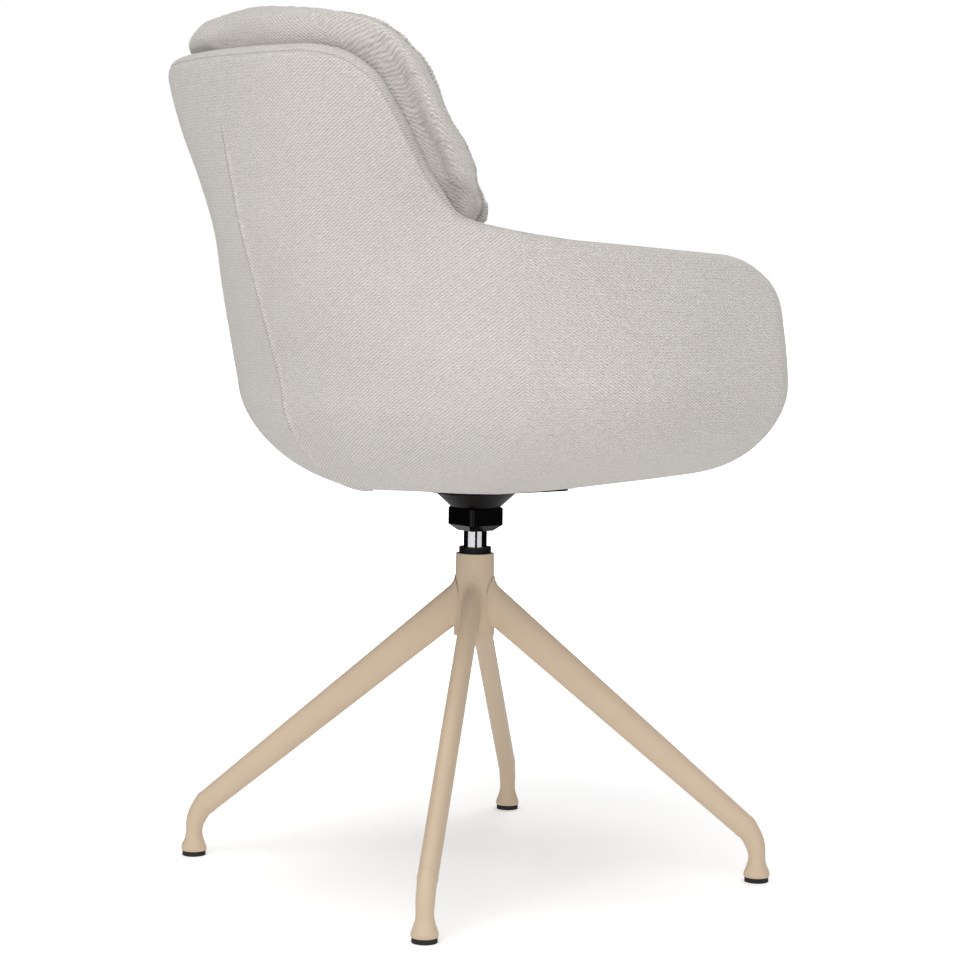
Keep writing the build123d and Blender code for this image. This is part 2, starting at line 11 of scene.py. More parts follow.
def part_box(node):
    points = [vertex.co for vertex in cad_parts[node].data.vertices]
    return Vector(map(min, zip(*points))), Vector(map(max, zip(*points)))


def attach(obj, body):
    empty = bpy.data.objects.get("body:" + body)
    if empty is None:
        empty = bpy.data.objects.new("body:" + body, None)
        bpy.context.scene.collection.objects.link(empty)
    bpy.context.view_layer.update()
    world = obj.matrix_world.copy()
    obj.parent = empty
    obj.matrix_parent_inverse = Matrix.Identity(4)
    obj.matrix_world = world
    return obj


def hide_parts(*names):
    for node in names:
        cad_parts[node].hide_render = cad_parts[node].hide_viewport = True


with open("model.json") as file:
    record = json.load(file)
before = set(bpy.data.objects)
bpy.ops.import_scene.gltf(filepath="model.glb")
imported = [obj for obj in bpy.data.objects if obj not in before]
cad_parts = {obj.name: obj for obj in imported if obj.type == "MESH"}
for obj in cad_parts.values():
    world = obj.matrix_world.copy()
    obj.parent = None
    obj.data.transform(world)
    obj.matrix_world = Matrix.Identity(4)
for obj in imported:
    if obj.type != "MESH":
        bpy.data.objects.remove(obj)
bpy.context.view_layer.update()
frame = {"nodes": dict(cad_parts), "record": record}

# shapes are worked out in millimetres, in the frame's axes, and a mesh gets them in metres
mm = 0.001

camera = {
    "lens": 91.84,
    "sensor": 36,
    "place": (-1.96768, 1.47883, 0.59273),
    "turn": 0.1409 - math.radians(225),  # bearing of the camera as seen from the swivel axis
    "yaw": -0.0016,
    "pitch": 0.0794,
    "roll": 0.0144,
}

print("camera")
lookAt = camera["turn"] + math.pi + camera["yaw"]
level = Vector((math.cos(lookAt), math.sin(lookAt), 0))
up = Vector((0, 0, 1))
sideways = level.cross(up)
forward = level * math.cos(camera["pitch"]) - up * math.sin(camera["pitch"])
upright = up * math.cos(camera["pitch"]) + level * math.sin(camera["pitch"])
camX = sideways * math.cos(camera["roll"]) + upright * math.sin(camera["roll"])
camY = upright * math.cos(camera["roll"]) - sideways * math.sin(camera["roll"])
camData = bpy.data.cameras.new("camera")
camData.lens = camera["lens"]
camData.sensor_width = camera["sensor"]
camObject = bpy.data.objects.new("camera", camData)
bpy.context.scene.collection.objects.link(camObject)
turned = Matrix((camX, camY, -forward)).transposed().to_4x4()
camObject.matrix_world = Matrix.Translation(camera["place"]) @ turned
bpy.context.scene.camera = camObject


# small helpers for meshes and curves

def addMesh(name, points, faces, smooth=True):
    mesh = bpy.data.meshes.new(name)
    mesh.from_pydata([tuple(p) for p in np.asarray(points) * mm], [], faces)
    mesh.update()
    if smooth:
        mesh.shade_smooth()
    piece = bpy.data.objects.new(name, mesh)
    bpy.context.scene.collection.objects.link(piece)
    return piece


def coords(mesh):
    flat = np.zeros(len(mesh.vertices) * 3)
    mesh.vertices.foreach_get("co", flat)
    return flat.reshape(-1, 3) / mm


def setCoords(mesh, points):
    mesh.vertices.foreach_set("co", (np.asarray(points) * mm).ravel())
    mesh.update()


def normalsOf(mesh):
    flat = np.zeros(len(mesh.vertices) * 3)
    mesh.vertex_normals.foreach_get("vector", flat)
    return flat.reshape(-1, 3)


def paintShade(piece, shade):
    # painted shade: how deep in a seam each point lies, which darkens the cloth's colour as if the
    # seam were in shadow
    layer = piece.data.attributes.new("painted_shade", "FLOAT", "POINT")
    layer.data.foreach_set("value", np.clip(shade, 0, 1).astype(np.float32))


def clothOn(piece, corners):
    # how the cloth lies at each face's corners: across, up, and which way its twill leans
    layer = piece.data.attributes.new("cloth", "FLOAT_VECTOR", "CORNER")
    layer.data.foreach_set("vector", corners.astype(np.float32).ravel())


def faceOutward(piece):
    bm = bmesh.new()
    bm.from_mesh(piece.data)
    bmesh.ops.recalc_face_normals(bm, faces=bm.faces)
    bm.to_mesh(piece.data)
    bm.free()


def treeOf(piece):
    mesh = piece.data
    points = [Vector(p) for p in coords(mesh)]
    return BVHTree.FromPolygons(points, [tuple(p.vertices) for p in mesh.polygons])

def evaluated(piece):
    graph = bpy.context.evaluated_depsgraph_get()
    return bpy.data.meshes.new_from_object(piece.evaluated_get(graph))


def ease(t):
    t = np.clip(t, 0, 1)
    return t * t * (3 - 2 * t)


def hump(away, width):
    return np.exp(-(away / width) ** 2)


def hermite(start, end, startSlope, endSlope, step, t):
    return (
        start * (2 * t**3 - 3 * t**2 + 1)
        + startSlope * step * (t**3 - 2 * t**2 + t)
        + end * (3 * t**2 - 2 * t**3)
        + endSlope * step * (t**3 - t**2)
    )


def curveThrough(points, places, count):
    # smooth line through the points, each reached at its own place
    points, places = np.array(points, float), np.array(places, float)
    slopes = np.gradient(points, places, axis=0, edge_order=2)
    at = np.linspace(places[0], places[-1], count)
    k = np.clip(np.searchsorted(places, at, side="right") - 1, 0, len(places) - 2)
    step = (places[k + 1] - places[k])[:, None]
    t = ((at - places[k]) / (places[k + 1] - places[k]))[:, None]
    return hermite(points[k], points[k + 1], slopes[k], slopes[k + 1], step, t)


def lengthsAlong(line):
    return np.r_[0, np.cumsum(np.linalg.norm(np.diff(line, axis=0), axis=1))]


def gridLengths(grid, axis):
    # the same for a grid of points, down its rows (0) or along its columns (1)
    steps = np.cumsum(np.linalg.norm(np.diff(grid, axis=axis), axis=2), axis=axis)
    return np.concatenate([np.zeros_like(steps.take([0], axis)), steps], axis=axis)


def walked(line, distances):
    run = lengthsAlong(line)
    return np.stack([np.interp(distances, run, line[:, k]) for k in range(line.shape[1])], 1)


# bucket shell: the same plan, rim and belly as the solid it covers

shell = {
    "underZ": 393.0,
    "waistZ": 500.0,
    "bellyDepth": 104.0,
    "bellySide": 1.5,
    "bellyPower": 1.85,
    "underRise": 0.064,
    "ribY": 60.0,
    "frontY": -168.0,
    "noseTop": 65.0,
    "noseBottom": 44.0,
    "backRimZ": 804.0,
    "armRimRear": 641.0,
    "armRimFront": 626.5,
    "wallArm": 38.0,
    "wallBack": 26.0,
    "wallUnder": 24.0,
    "rimRoll": 14.0,
    "uprightTo": 480,  # the sides leave the waist upright, down to this height
    "plan": {  # height: half width, rearward reach, centre of the plan
        500: (282.5, 234, -55), 594: (266, 264, -75), 646: (253, 280, -90),
        694: (288, 291, -110), 745: (336, 303, -130), 806: (368, 317, -157),
    },
    "rim": {  # turn from the middle of the back: height
        0: 803, 26: 803, 34: 798, 42: 777, 48: 733, 54: 686, 63: 655, 74: 647, 90: 640,
    },
}


def between(levels, at):
    keys = sorted(levels)
    if at <= keys[0]:
        return levels[keys[0]]
    if at >= keys[-1]:
        return levels[keys[-1]]
    i = max(k for k in range(len(keys) - 1) if keys[k] <= at)

    def slope(k):
        if k in (0, len(keys) - 1):
            j = min(k, len(keys) - 2)
            return (levels[keys[j + 1]] - levels[keys[j]]) / (keys[j + 1] - keys[j])
        left = (levels[keys[k]] - levels[keys[k - 1]]) / (keys[k] - keys[k - 1])
        right = (levels[keys[k + 1]] - levels[keys[k]]) / (keys[k + 1] - keys[k])
        return 0 if left * right <= 0 else 2 * left * right / (left + right)

    step = keys[i + 1] - keys[i]
    t = (at - keys[i]) / step
    return hermite(levels[keys[i]], levels[keys[i + 1]], slope(i), slope(i + 1), step, t)


planColumns = [{z: row[k] for z, row in shell["plan"].items()} for k in range(3)]
planColumns[0][shell["uprightTo"]] = planColumns[0][shell["waistZ"]]


def planAt(z):
    return [between(column, z) for column in planColumns]


def station(angle=90.0, y=None):
    # one upright section: rear ones fan out from ribY, arm ones stand square to the arm
    y = shell["ribY"] if y is None else y
    a = math.radians(angle)
    return {"y": y, "dx": math.sin(a), "dy": math.cos(a), "angle": angle}


def lowerEdge(rib):
    return shell["underZ"] + shell["underRise"] * (shell["ribY"] - rib["y"])


def reachOf(rib, z):
    half, rear, centre = planAt(z)
    drawn = 0.0
    if z < shell["waistZ"]:
        fall = min((shell["waistZ"] - z) / (shell["waistZ"] - lowerEdge(rib)), 1)
        power = shell["bellyPower"]
        drawn = shell["bellyDepth"] * (1 - (1 - fall**power) ** (1 / power))
    drawn *= 1 + (shell["bellySide"] - 1) * rib["dx"] ** 2
    offset = rib["y"] - centre
    if offset < 0:
        return half - drawn
    deep = rear - centre
    p = (rib["dx"] / half) ** 2 + (rib["dy"] / deep) ** 2
    q = 2 * rib["dy"] * offset / deep**2
    r = (offset / deep) ** 2 - 1
    return (-q + math.sqrt(q * q - 4 * p * r)) / (2 * p) - drawn


def noseCut(rib, radius):
    into = rib["y"] - shell["frontY"]
    if rib["angle"] != 90 or into >= radius:
        return 0.0
    return radius - math.sqrt(max(radius**2 - (radius - into) ** 2, 0))


def rimHeight(rib):
    if rib["y"] == shell["ribY"]:
        return between(shell["rim"], rib["angle"])
    run = (shell["ribY"] - rib["y"]) / (shell["ribY"] - shell["frontY"])
    level = shell["rim"][90] + (shell["armRimFront"] - shell["rim"][90]) * run
    return level - noseCut(rib, shell["noseTop"])


def wallOf(rib):
    if rib["y"] == shell["ribY"]:
        fall = (shell["backRimZ"] - rimHeight(rib)) / (shell["backRimZ"] - shell["armRimRear"])
        share = min(max(fall, 0), 1)
        return shell["wallBack"] + (shell["wallArm"] - shell["wallBack"]) * share
    return shell["wallArm"]


def outsideAt(rib, t):
    low = lowerEdge(rib)
    belly = shell["waistZ"] - low
    if t < 1:
        lowest = low + noseCut(rib, shell["noseBottom"])
        power = shell["bellyPower"]
        start = math.asin(min((shell["waistZ"] - lowest) / belly, 1) ** (power / 2))
        z = shell["waistZ"] - belly * math.sin(start * (1 - t)) ** (2 / power)
    else:
        z = shell["waistZ"] + (t - 1) * (rimHeight(rib) - shell["waistZ"])
    return reachOf(rib, z), z


def wayAt(rib, t):
    r0, z0 = outsideAt(rib, max(t - 0.01, 0))
    r1, z1 = outsideAt(rib, min(t + 0.01, 2))
    run = math.hypot(r1 - r0, z1 - z0)
    return (r1 - r0) / run, (z1 - z0) / run


def underSkin(rib, t, depth):
    r, z = outsideAt(rib, t)
    dr, dz = wayAt(rib, t)
    return r - dz * depth, z + dr * depth


cover = {
    "rearFrom": 4.0,  # degrees from the centre seam, where the even steps start
    "rearStep": 1.1,  # degrees
    "armStep": 3.2,
    "seamSteps": (0, 0.12, 0.25, 0.4, 0.6, 0.85, 1.15, 1.5, 1.9, 2.4, 3.1),  # degrees
    "sideSeamClear": 0.9,  # the even steps stay this far from the side seam
    "sideSeamSteps": (-0.7, -0.45, -0.25, -0.1, 0, 0.1, 0.25, 0.45, 0.7),
    "noseRound": 21.0,  # length of the arm's rounded front, in plan
    "noseShare": 0.42,  # where the front edge lies between outside and inside
    "noseSteps": 13,
    "noseThin": 0.0004,  # square of the share of the wall that is left at the very front
    "outSteps": 160,
    "inSteps": 120,
    "rollSteps": 24,
    "rowStep": 3.0,
    "hemRows": (0, 1.6, 3.4, 5.2, 7, 8.6, 9.8, 10.4, 11, 11.6, 12.2, 13.4, 15, 17.5, 20.5, 24),
    "fullHem": 60.0,  # a section shorter than this has its hem rows drawn together
    "innerRows": 90,
    "seamGap": 0.15,
    "gapWidth": 6.0,
    "seamFadeLow": 690.0,  # the centre seam runs out between these heights
    "seamFadeHigh": 752.0,
    "grooveDepth": 3.0,
    "grooveWidth": 0.9,
    "foldRise": 2.5,  # the right panel's folded edge stands proud of the left one
    "foldFrom": 3.6,
    "foldWidth": 2.5,
    # painted shade in the centre seam's groove: how dark, and its width
    "creaseShade": 0.9,
    "creaseWidth": 1.3,
    "hemFrom": 11.0,  # below the rim
    "hemDepth": 0.9,
    "hemWidth": 1.0,
    # painted shade along the hem
    "hemShade": 0.22,
    "sideSeamAngle": 76.0,
    "sideSeamDepth": 0.3,
    "sideSeamWidth": 1.1,
    "unevenness": 0.55,
    "swellSize": 120,
    "swellSeeds": {1: 3, -1: 5},  # side: seed
    "evenSeam": 40,  # the swell starts this far from the seam, and from the rim
    "evenRim": 30,
    "turnedUnder": 4.0,  # cloth past the lower edge
}


def coverStations():
    # fine steps beside the centre seam and the side seam, even steps elsewhere
    angles = list(cover["seamSteps"]) + list(np.arange(cover["rearFrom"], 90.0, cover["rearStep"]))
    seam = cover["sideSeamAngle"]
    angles = [a for a in angles if abs(a - seam) > cover["sideSeamClear"]]
    angles += [seam + d for d in cover["sideSeamSteps"]]
    ribs = [station(angle=a) for a in sorted(angles)]
    start = shell["frontY"] + cover["noseRound"]
    ys = list(np.arange(shell["ribY"] - cover["armStep"], start, -cover["armStep"]))
    turns = np.linspace(math.pi / 2, 0, cover["noseSteps"])
    ys += [shell["frontY"] + cover["noseRound"] * (1 - math.cos(a)) for a in turns]
    return ribs + [station(y=y) for y in ys]


def coverProfile(rib):
    # outside from the rim's top down to the lower edge, then inside from the rim's top down
    wall = wallOf(rib)
    into = rib["y"] - shell["frontY"]
    opened = 1.0
    if into < cover["noseRound"]:
        flat = (1 - into / cover["noseRound"]) ** 2
        opened = math.sqrt(max(1 - flat, cover["noseThin"]))
    middle = wall * cover["noseShare"]
    outDepth = middle * (1 - opened)
    fullIn = middle + (wall - middle) * opened

    def inDepth(t):
        if t >= 1:
            return fullIn
        under = outDepth + min(shell["wallUnder"], wall) * (fullIn - outDepth) / wall
        return under + (fullIn - under) * (t * t * (3 - 2 * t))

    topR = min((fullIn - outDepth) / 2, shell["rimRoll"] * opened)
    rise = rimHeight(rib) - shell["waistZ"]
    topT = 2 - topR / rise
    belly = [k / 5 for k in range(5)]
    upper = [1 + k / 6 for k in range(7)]
    outPlaces, inPlaces = belly + upper, belly[:-1] + upper

    def tOf(share):
        return share if share < 1 else 1 + (topT - 1) * (share - 1)

    outPoints = [underSkin(rib, tOf(p), outDepth) for p in outPlaces]
    inPoints = [underSkin(rib, tOf(p), inDepth(tOf(p))) for p in inPlaces]
    outLine = curveThrough(outPoints, outPlaces, cover["outSteps"])
    inLine = curveThrough(inPoints, inPlaces, cover["inSteps"])
    dr, dz = wayAt(rib, topT)
    a, b = outLine[-1], inLine[-1]
    turns = np.linspace(0, math.pi, cover["rollSteps"])[1:-1, None]
    roll = (a + b) / 2 + (a - b) / 2 * np.cos(turns) + np.array([dr, dz]) * topR * np.sin(turns)
    half = len(roll) // 2
    return np.vstack([outLine, roll[:half]])[::-1], np.vstack([roll[half:], inLine[::-1]])


def placed(rib, line):
    # a section's points of reach and height, in the frame
    reach, z = line.T
    return np.stack([reach * rib["dx"], rib["y"] + reach * rib["dy"], z], 1)


def coverGrid():
    ribs = coverStations()
    profiles = [coverProfile(rib) for rib in ribs]
    hem = np.array(cover["hemRows"])
    longest = max(lengthsAlong(outside)[-1] for outside, _ in profiles)
    rows = int((longest - hem[-1]) / cover["rowStep"])
    outer, inner = [], []
    for rib, (outside, inside) in zip(ribs, profiles):
        total = lengthsAlong(outside)[-1]
        fixed = hem * min(1, total / cover["fullHem"])
        down = np.r_[fixed, np.linspace(fixed[-1], total, rows + 1)[1:]]
        outer.append(placed(rib, walked(outside, down)))
        down = np.linspace(0, lengthsAlong(inside)[-1], cover["innerRows"] + 1)[1:]
        inner.append(placed(rib, walked(inside, down)))
    return ribs, np.array(outer), np.array(inner)


def smoothNoise(points, size, seed):
    # gentle random swell, the same every run
    rng = np.random.default_rng(seed)
    total = np.zeros(len(points))
    for _ in range(9):
        way = rng.normal(size=3)
        way /= np.linalg.norm(way)
        pace = 2 * math.pi / (size * rng.uniform(0.7, 1.4))
        total += np.sin(points @ way * pace + rng.uniform(0, 6.28))
    return total / 3


print("shell cover")
ribs, outerGrid, innerGrid = coverGrid()


def gridNormals(grid):
    across = np.gradient(grid, axis=0)
    down = np.gradient(grid, axis=1)
    n = np.cross(down, across)
    return n / np.maximum(np.linalg.norm(n, axis=2, keepdims=True), 1e-9)


def planPoint(rib, z):
    reach = reachOf(rib, z)
    return reach * rib["dx"], rib["y"] + reach * rib["dy"]


levels = np.linspace(392, 806, 60)
arcs = gridLengths(np.array([[planPoint(rib, z) for z in levels] for rib in ribs]), 0)


def levelArcs(heights):
    # true distance round the shell from the middle of the back, at each point's own height
    return np.array([np.interp(row, levels, line) for row, line in zip(heights, arcs)])


def coverRelief(side, around, downward, seamShare):
    # how far each point stands off the plain surface, and how much painted shade it gets in the
    # centre seam's groove and along the hem
    rise = -cover["grooveDepth"] * hump(around, cover["grooveWidth"]) * seamShare
    if side < 0:
        fold = hump(around - cover["foldFrom"], cover["foldWidth"])
        rise += cover["foldRise"] * fold * seamShare
    hem = hump(downward - cover["hemFrom"], cover["hemWidth"])
    rise -= cover["hemDepth"] * hem
    fromSide = around - around[seamIndex]
    rise -= cover["sideSeamDepth"] * hump(fromSide, cover["sideSeamWidth"])
    swell = smoothNoise(outerGrid.reshape(-1, 3), cover["swellSize"], cover["swellSeeds"][side])
    swell = swell.reshape(rise.shape)
    swell *= ease(around / cover["evenSeam"]) * ease(downward / cover["evenRim"])
    rise += cover["unevenness"] * swell
    # painted shade in the centre seam's groove and along the hem
    shade = cover["creaseShade"] * hump(around, cover["creaseWidth"]) * seamShare
    return rise, shade + cover["hemShade"] * hem


def sharpenEnds(mesh, rows, cols):
    # the panel's two end faces and its lower edge keep crisp edges
    ends = np.zeros(len(mesh.edges) * 2, int)
    mesh.edges.foreach_get("vertices", ends)
    row, col = np.divmod(ends.reshape(-1, 2), cols)
    sameRow = row[:, 0] == row[:, 1]
    sharp = sameRow & np.isin(row[:, 0], (0, rows - 1))
    sharp |= ~sameRow & np.isin(col, (0, cols - 1)).all(axis=1)
    layer = mesh.attributes.new("sharp_edge", "BOOLEAN", "EDGE")
    layer.data.foreach_set("value", sharp)


def makeCover(name, side):
    normal = gridNormals(outerGrid)
    if (normal[20, 60] @ np.array([ribs[20]["dx"], ribs[20]["dy"], 0])) < 0:
        normal = -normal
    around, downward = gridLengths(outerGrid, 0), gridLengths(outerGrid, 1)
    heights = outerGrid[:, :, 2]
    fade = (heights - cover["seamFadeLow"]) / (cover["seamFadeHigh"] - cover["seamFadeLow"])
    seamShare = 1 - ease(fade)
    rise, shade = coverRelief(side, around, downward, seamShare)
    grid = outerGrid + normal * rise[:, :, None]
    grid[:, :, 0] += cover["seamGap"] * seamShare * hump(around, cover["gapWidth"])
    # each row of points runs from the lower edge up the outside, then down the inside
    ring = np.concatenate([grid[:, ::-1], innerGrid], axis=1)
    rows, cols = ring.shape[:2]
    inside = innerGrid.shape[1]
    faces = []
    for i in range(rows - 1):
        for j in range(cols):
            k = (j + 1) % cols
            faces.append([(i, j), (i + 1, j), (i + 1, k), (i, k)])
    faces += [[(0, j) for j in range(cols)], [(rows - 1, j) for j in range(cols)][::-1]]
    if side < 0:
        faces = [face[::-1] for face in faces]
    points = ring.reshape(-1, 3) * np.array([side, 1, 1])
    piece = addMesh(name, points, [[i * cols + j for i, j in face] for face in faces])
    # the cloth lies straight: across is the way round at one height, up the way along the rib
    across = levelArcs(grid[:, :, 2])
    waistRun = [np.interp(-shell["waistZ"], -line, run) for line, run in zip(heights, downward)]
    up = np.array(waistRun)[:, None] - downward
    innerDown = gridLengths(np.concatenate([grid[:, :1], innerGrid], axis=1), 1)[:, 1:]
    u = np.concatenate([across[:, ::-1], np.repeat(across[:, :1], inside, axis=1)], axis=1)
    v = np.concatenate([up[:, ::-1], up[:, :1] + innerDown], axis=1)
    corners = []
    for face in faces:
        rear = (sum(i for i, _ in face) / len(face)) < seamIndex
        closing = len(face) == 4 and {j for _, j in face} == {0, cols - 1}
        for i, j in face:
            height = v[i, -1] + cover["turnedUnder"] if closing and j == 0 else v[i, j]
            corners.append((u[i, j], height, 1 if rear else -1))
    clothOn(piece, np.array(corners))
    # painted shade on the outside of the cover only
    shade = np.concatenate([shade[:, ::-1], np.zeros((rows, inside))], axis=1)
    paintShade(piece, shade.ravel())
    sharpenEnds(piece.data, rows, cols)
    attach(piece, "seat")
    return piece


seamIndex = int(np.argmin([abs(rib["angle"] - cover["sideSeamAngle"]) for rib in ribs]))
coverLeft = makeCover("cover_left", 1)
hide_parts("padded_wall_left")
coverRight = makeCover("cover_right", -1)
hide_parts("padded_wall_right")


# back cushion: follows the inside of the shell, with a boxed band and a double-stitched front seam

backCushion = {
    "levels": {  # height: half width, share of full thickness, how far its rear stands off
        493.4: (148, 0.70, 10), 508: (154, 0.90, 4), 540: (157, 1, 1.5), 594: (154, 1, 1.5),
        646: (152, 1, 1.5), 694: (158, 1, 2), 745: (165, 1, 3), 772: (163, 1, 4.5),
        796: (159, 1, 5), 817: (150, 0.98, 7), 829: (136, 0.90, 10), 838: (108, 0.77, 15),
        844: (60, 0.56, 24), 847.5: (24, 0.34, 31),
    },
    "middle": 78.0,
    "sides": 38.0,
    "bulge": 10.0,
    "standOff": 3.4,
    "lean": 0.25,
    "startIn": 1.4,  # the rear of the case starts this much smaller than its filling
    "startOut": 4.0,  # its band and front start larger, because the front's pull draws them in
    "sideFill": {  # height: more or less fill beside it
        620: -8, 650: -9, 675: -3, 695: 6, 725: 9, 770: 10, 795: 8, 818: 3, 835: 0,
    },
    "topFill": -3.5,
    "leftOver": 12.0,  # the left upper corner leans this much further over the rim,
    "leftOverZ": 822.0,  # most at this height
    "leftOverSpread": 14,
    "leftFrom": 5,
    "leftBlend": 60,
    "columns": 25,
    "bandSteps": 9,
    "rowsBetween": 4,
    "voxel": 4.0,
    "pressure": 4.0,
    "swellRear": 1.2,
    "swellFront": 9.0,
    "seamHalf": 176.0,  # half width of the sheet that holds the front seam
    "seamShare": 0.5,  # front seam, as a share of the thickness from the rear
    "seamDepth": 2.2,
    "seamWidth": 2.6,
    # painted shade along the front seam: how dark, and its width
    "seamShade": 0.45,
    "shadeWidth": 1.6,
    "rowApart": 3.6,
    "rowStart": 170.0,
    "middleZ": 672.0,  # bearings round the band are taken from here
    "pucker": 0.25,
    "puckerPitch": 21.0,
    "puckerWidth": 14,
    "creases": [  # (x, z) on the band, length, rise, depth
        ((-176, 776), 20, 0.15, 1.3), ((-184, 752), 13, 0.5, 0.8), ((176, 764), 20, -0.2, 1.2),
        ((60, 846), 26, 0.2, 1.0), ((-70, 848), 22, -0.1, 0.9),
    ],
    "creaseWidth": 2.4,
    "creaseFades": ((18, 25), (16, 14)),  # behind the seam, and beside: at a side, at the top
    "bandFrom": 150,  # further out than this is a side
    "bandTurn": 0.75,  # a face that looks back or forward more than this isn't on the band
    "bandDeep": 22,  # unless it is this close behind the seam
    "unevenness": 0.8,
    "swellSize": 90,
    "swellSeed": 11,
}


def insideReach(angle, z):
    rib = station(angle=angle)
    slope = (reachOf(rib, z + 1) - reachOf(rib, z - 1)) / 2
    return reachOf(rib, z) - wallOf(rib) * math.hypot(1, slope)


def rearOf(x, z):
    low, high = 0.0, 90.0
    for _ in range(22):
        angle = (low + high) / 2
        if insideReach(angle, z) * math.sin(math.radians(angle)) < abs(x):
            low = angle
        else:
            high = angle
    inside = shell["ribY"] + insideReach(angle, z) * math.cos(math.radians(angle))
    return inside - backCushion["standOff"] + max(z - shell["backRimZ"], 0) * backCushion["lean"]


def thicknessOf(x, half):
    side = np.minimum(np.abs(x / half), 1)
    return backCushion["middle"] + (backCushion["sides"] - backCushion["middle"]) * side**2


def backShape():
    keys = sorted(backCushion["levels"])
    columns = [{z: backCushion["levels"][z][k] for z in keys} for k in range(3)]
    parts = backCushion["rowsBetween"]
    heights = [z + (zz - z) * s / parts for z, zz in zip(keys, keys[1:]) for s in range(parts)]
    turns = np.linspace(0, math.pi, backCushion["bandSteps"])[1:-1]
    rings = []
    for z in heights + [keys[-1]]:
        half, share, off = (between(column, z) for column in columns)
        xs = half * np.linspace(-1, 1, backCushion["columns"])
        above = (z - backCushion["leftOverZ"]) / backCushion["leftOverSpread"]
        over = backCushion["leftOver"] * math.exp(-(above**2))
        over = over * ease((xs - backCushion["leftFrom"]) / backCushion["leftBlend"])
        rear = np.array([(x, rearOf(x, z) - off + more, z) for x, more in zip(xs, over)])
        front = np.array([(x, y - thicknessOf(x, half) * share, z) for x, y, _ in rear])
        bulge = backCushion["bulge"] * share

        def side(end, way):
            x, y, _ = (rear[end] + front[end]) / 2
            reach = (rear[end][1] - front[end][1]) / 2
            return [(x + way * bulge * math.sin(a), y + reach * math.cos(a), z) for a in turns]

        rings.append(np.vstack([rear, side(-1, 1), front[::-1], side(0, -1)[::-1]]))
    return np.array(rings)


def ringFaces(count, size, closed=False):
    # faces between rings of points: round on themselves when closed, or capped at both ends
    faces = []
    for i in range(count if closed else count - 1):
        a, b = i * size, (i + 1) % count * size
        for j in range(size):
            k = (j + 1) % size
            faces.append((a + j, a + k, b + k, b + j))
    if not closed:
        faces += [tuple(range(size))[::-1], tuple(range((count - 1) * size, count * size))]
    return faces


def remeshed(piece, voxel):
    change = piece.modifiers.new("even", "REMESH")
    change.mode = "VOXEL"
    change.voxel_size = voxel * mm
    mesh = evaluated(piece)
    piece.modifiers.clear()
    piece.data = mesh


def shrunk(piece, amount):
    mesh = piece.data
    setCoords(mesh, coords(mesh) - normalsOf(mesh) * np.reshape(amount, (-1, 1)))


cushionCloth = {
    "quality": 5, "mass": 0.3, "tension_stiffness": 12, "compression_stiffness": 12,
    "shear_stiffness": 5, "bending_stiffness": 0.6, "use_pressure": True,
}
clothFrames = 20


def swollen(piece, pressure, caps):
    # the case fills out under pressure; no point moves further than its cap
    rest = coords(piece.data)
    settings = piece.modifiers.new("cloth", "CLOTH").settings
    for name, value in cushionCloth.items():
        setattr(settings, name, value)
    settings.uniform_pressure_force = pressure
    settings.effector_weights.gravity = 0
    scene = bpy.context.scene
    scene.frame_start, scene.frame_end = 1, clothFrames
    for number in range(1, clothFrames + 1):
        scene.frame_set(number)
    after = evaluated(piece)
    moved = coords(after) - rest
    bpy.data.meshes.remove(after)
    piece.modifiers.clear()
    scene.frame_set(1)
    length = np.linalg.norm(moved, axis=1)
    scale = np.minimum(1, caps / np.maximum(length, 1e-6))
    setCoords(piece.data, rest + moved * scale[:, None])
    return rest


def subdivided(piece, rest):
    # once finer; the resting shape is refined in step, so that seams can be placed by it
    final = coords(piece.data)
    change = piece.modifiers.new("finer", "SUBSURF")
    change.levels = change.render_levels = 1
    setCoords(piece.data, rest)
    restFine = coords(evaluated(piece))
    setCoords(piece.data, final)
    mesh = evaluated(piece)
    piece.modifiers.clear()
    piece.data = mesh
    mesh.shade_smooth()
    return restFine


def perLoop(mesh):
    vertexOf = np.zeros(len(mesh.loops), int)
    mesh.loops.foreach_get("vertex_index", vertexOf)
    totals = np.zeros(len(mesh.polygons), int)
    mesh.polygons.foreach_get("loop_total", totals)
    return vertexOf, np.repeat(np.arange(len(mesh.polygons)), totals)


print("back cushion")
rings = backShape()
faces = ringFaces(len(rings), rings.shape[1])
back = addMesh("back_cushion_cover", rings.reshape(-1, 3), faces)
remeshed(back, backCushion["voxel"])
normal = normalsOf(back.data)
facing = ease(normal[:, 1] * 1.6 - 0.2)  # 1 on the rear face, 0 on the band and the front
fillZ, fillBy = zip(*sorted(backCushion["sideFill"].items()))
fill = np.interp(coords(back.data)[:, 2], fillZ, fillBy) * np.abs(normal[:, 0])
fill += backCushion["startOut"] + backCushion["topFill"] * ease(normal[:, 2])
shrunk(back, backCushion["startIn"] * facing - fill * (1 - facing))

gridX = np.linspace(-200, 200, 81)
gridZ = np.linspace(470, 870, 81)
rearField = np.array([[rearOf(min(abs(x), 196), z) for x in gridX] for z in gridZ])


def rearAt(x, z):
    fx = np.clip((x - gridX[0]) / (gridX[1] - gridX[0]), 0, len(gridX) - 1.001)
    fz = np.clip((z - gridZ[0]) / (gridZ[1] - gridZ[0]), 0, len(gridZ) - 1.001)
    i, j = fx.astype(int), fz.astype(int)
    a, b = fx - i, fz - j
    return (
        rearField[j, i] * (1 - a) * (1 - b) + rearField[j, i + 1] * a * (1 - b)
        + rearField[j + 1, i] * (1 - a) * b + rearField[j + 1, i + 1] * a * b
    )


def seamSheet(x, z):
    # the upright sheet that holds the front seam
    return rearAt(x, z) - backCushion["seamShare"] * thicknessOf(x, backCushion["seamHalf"])


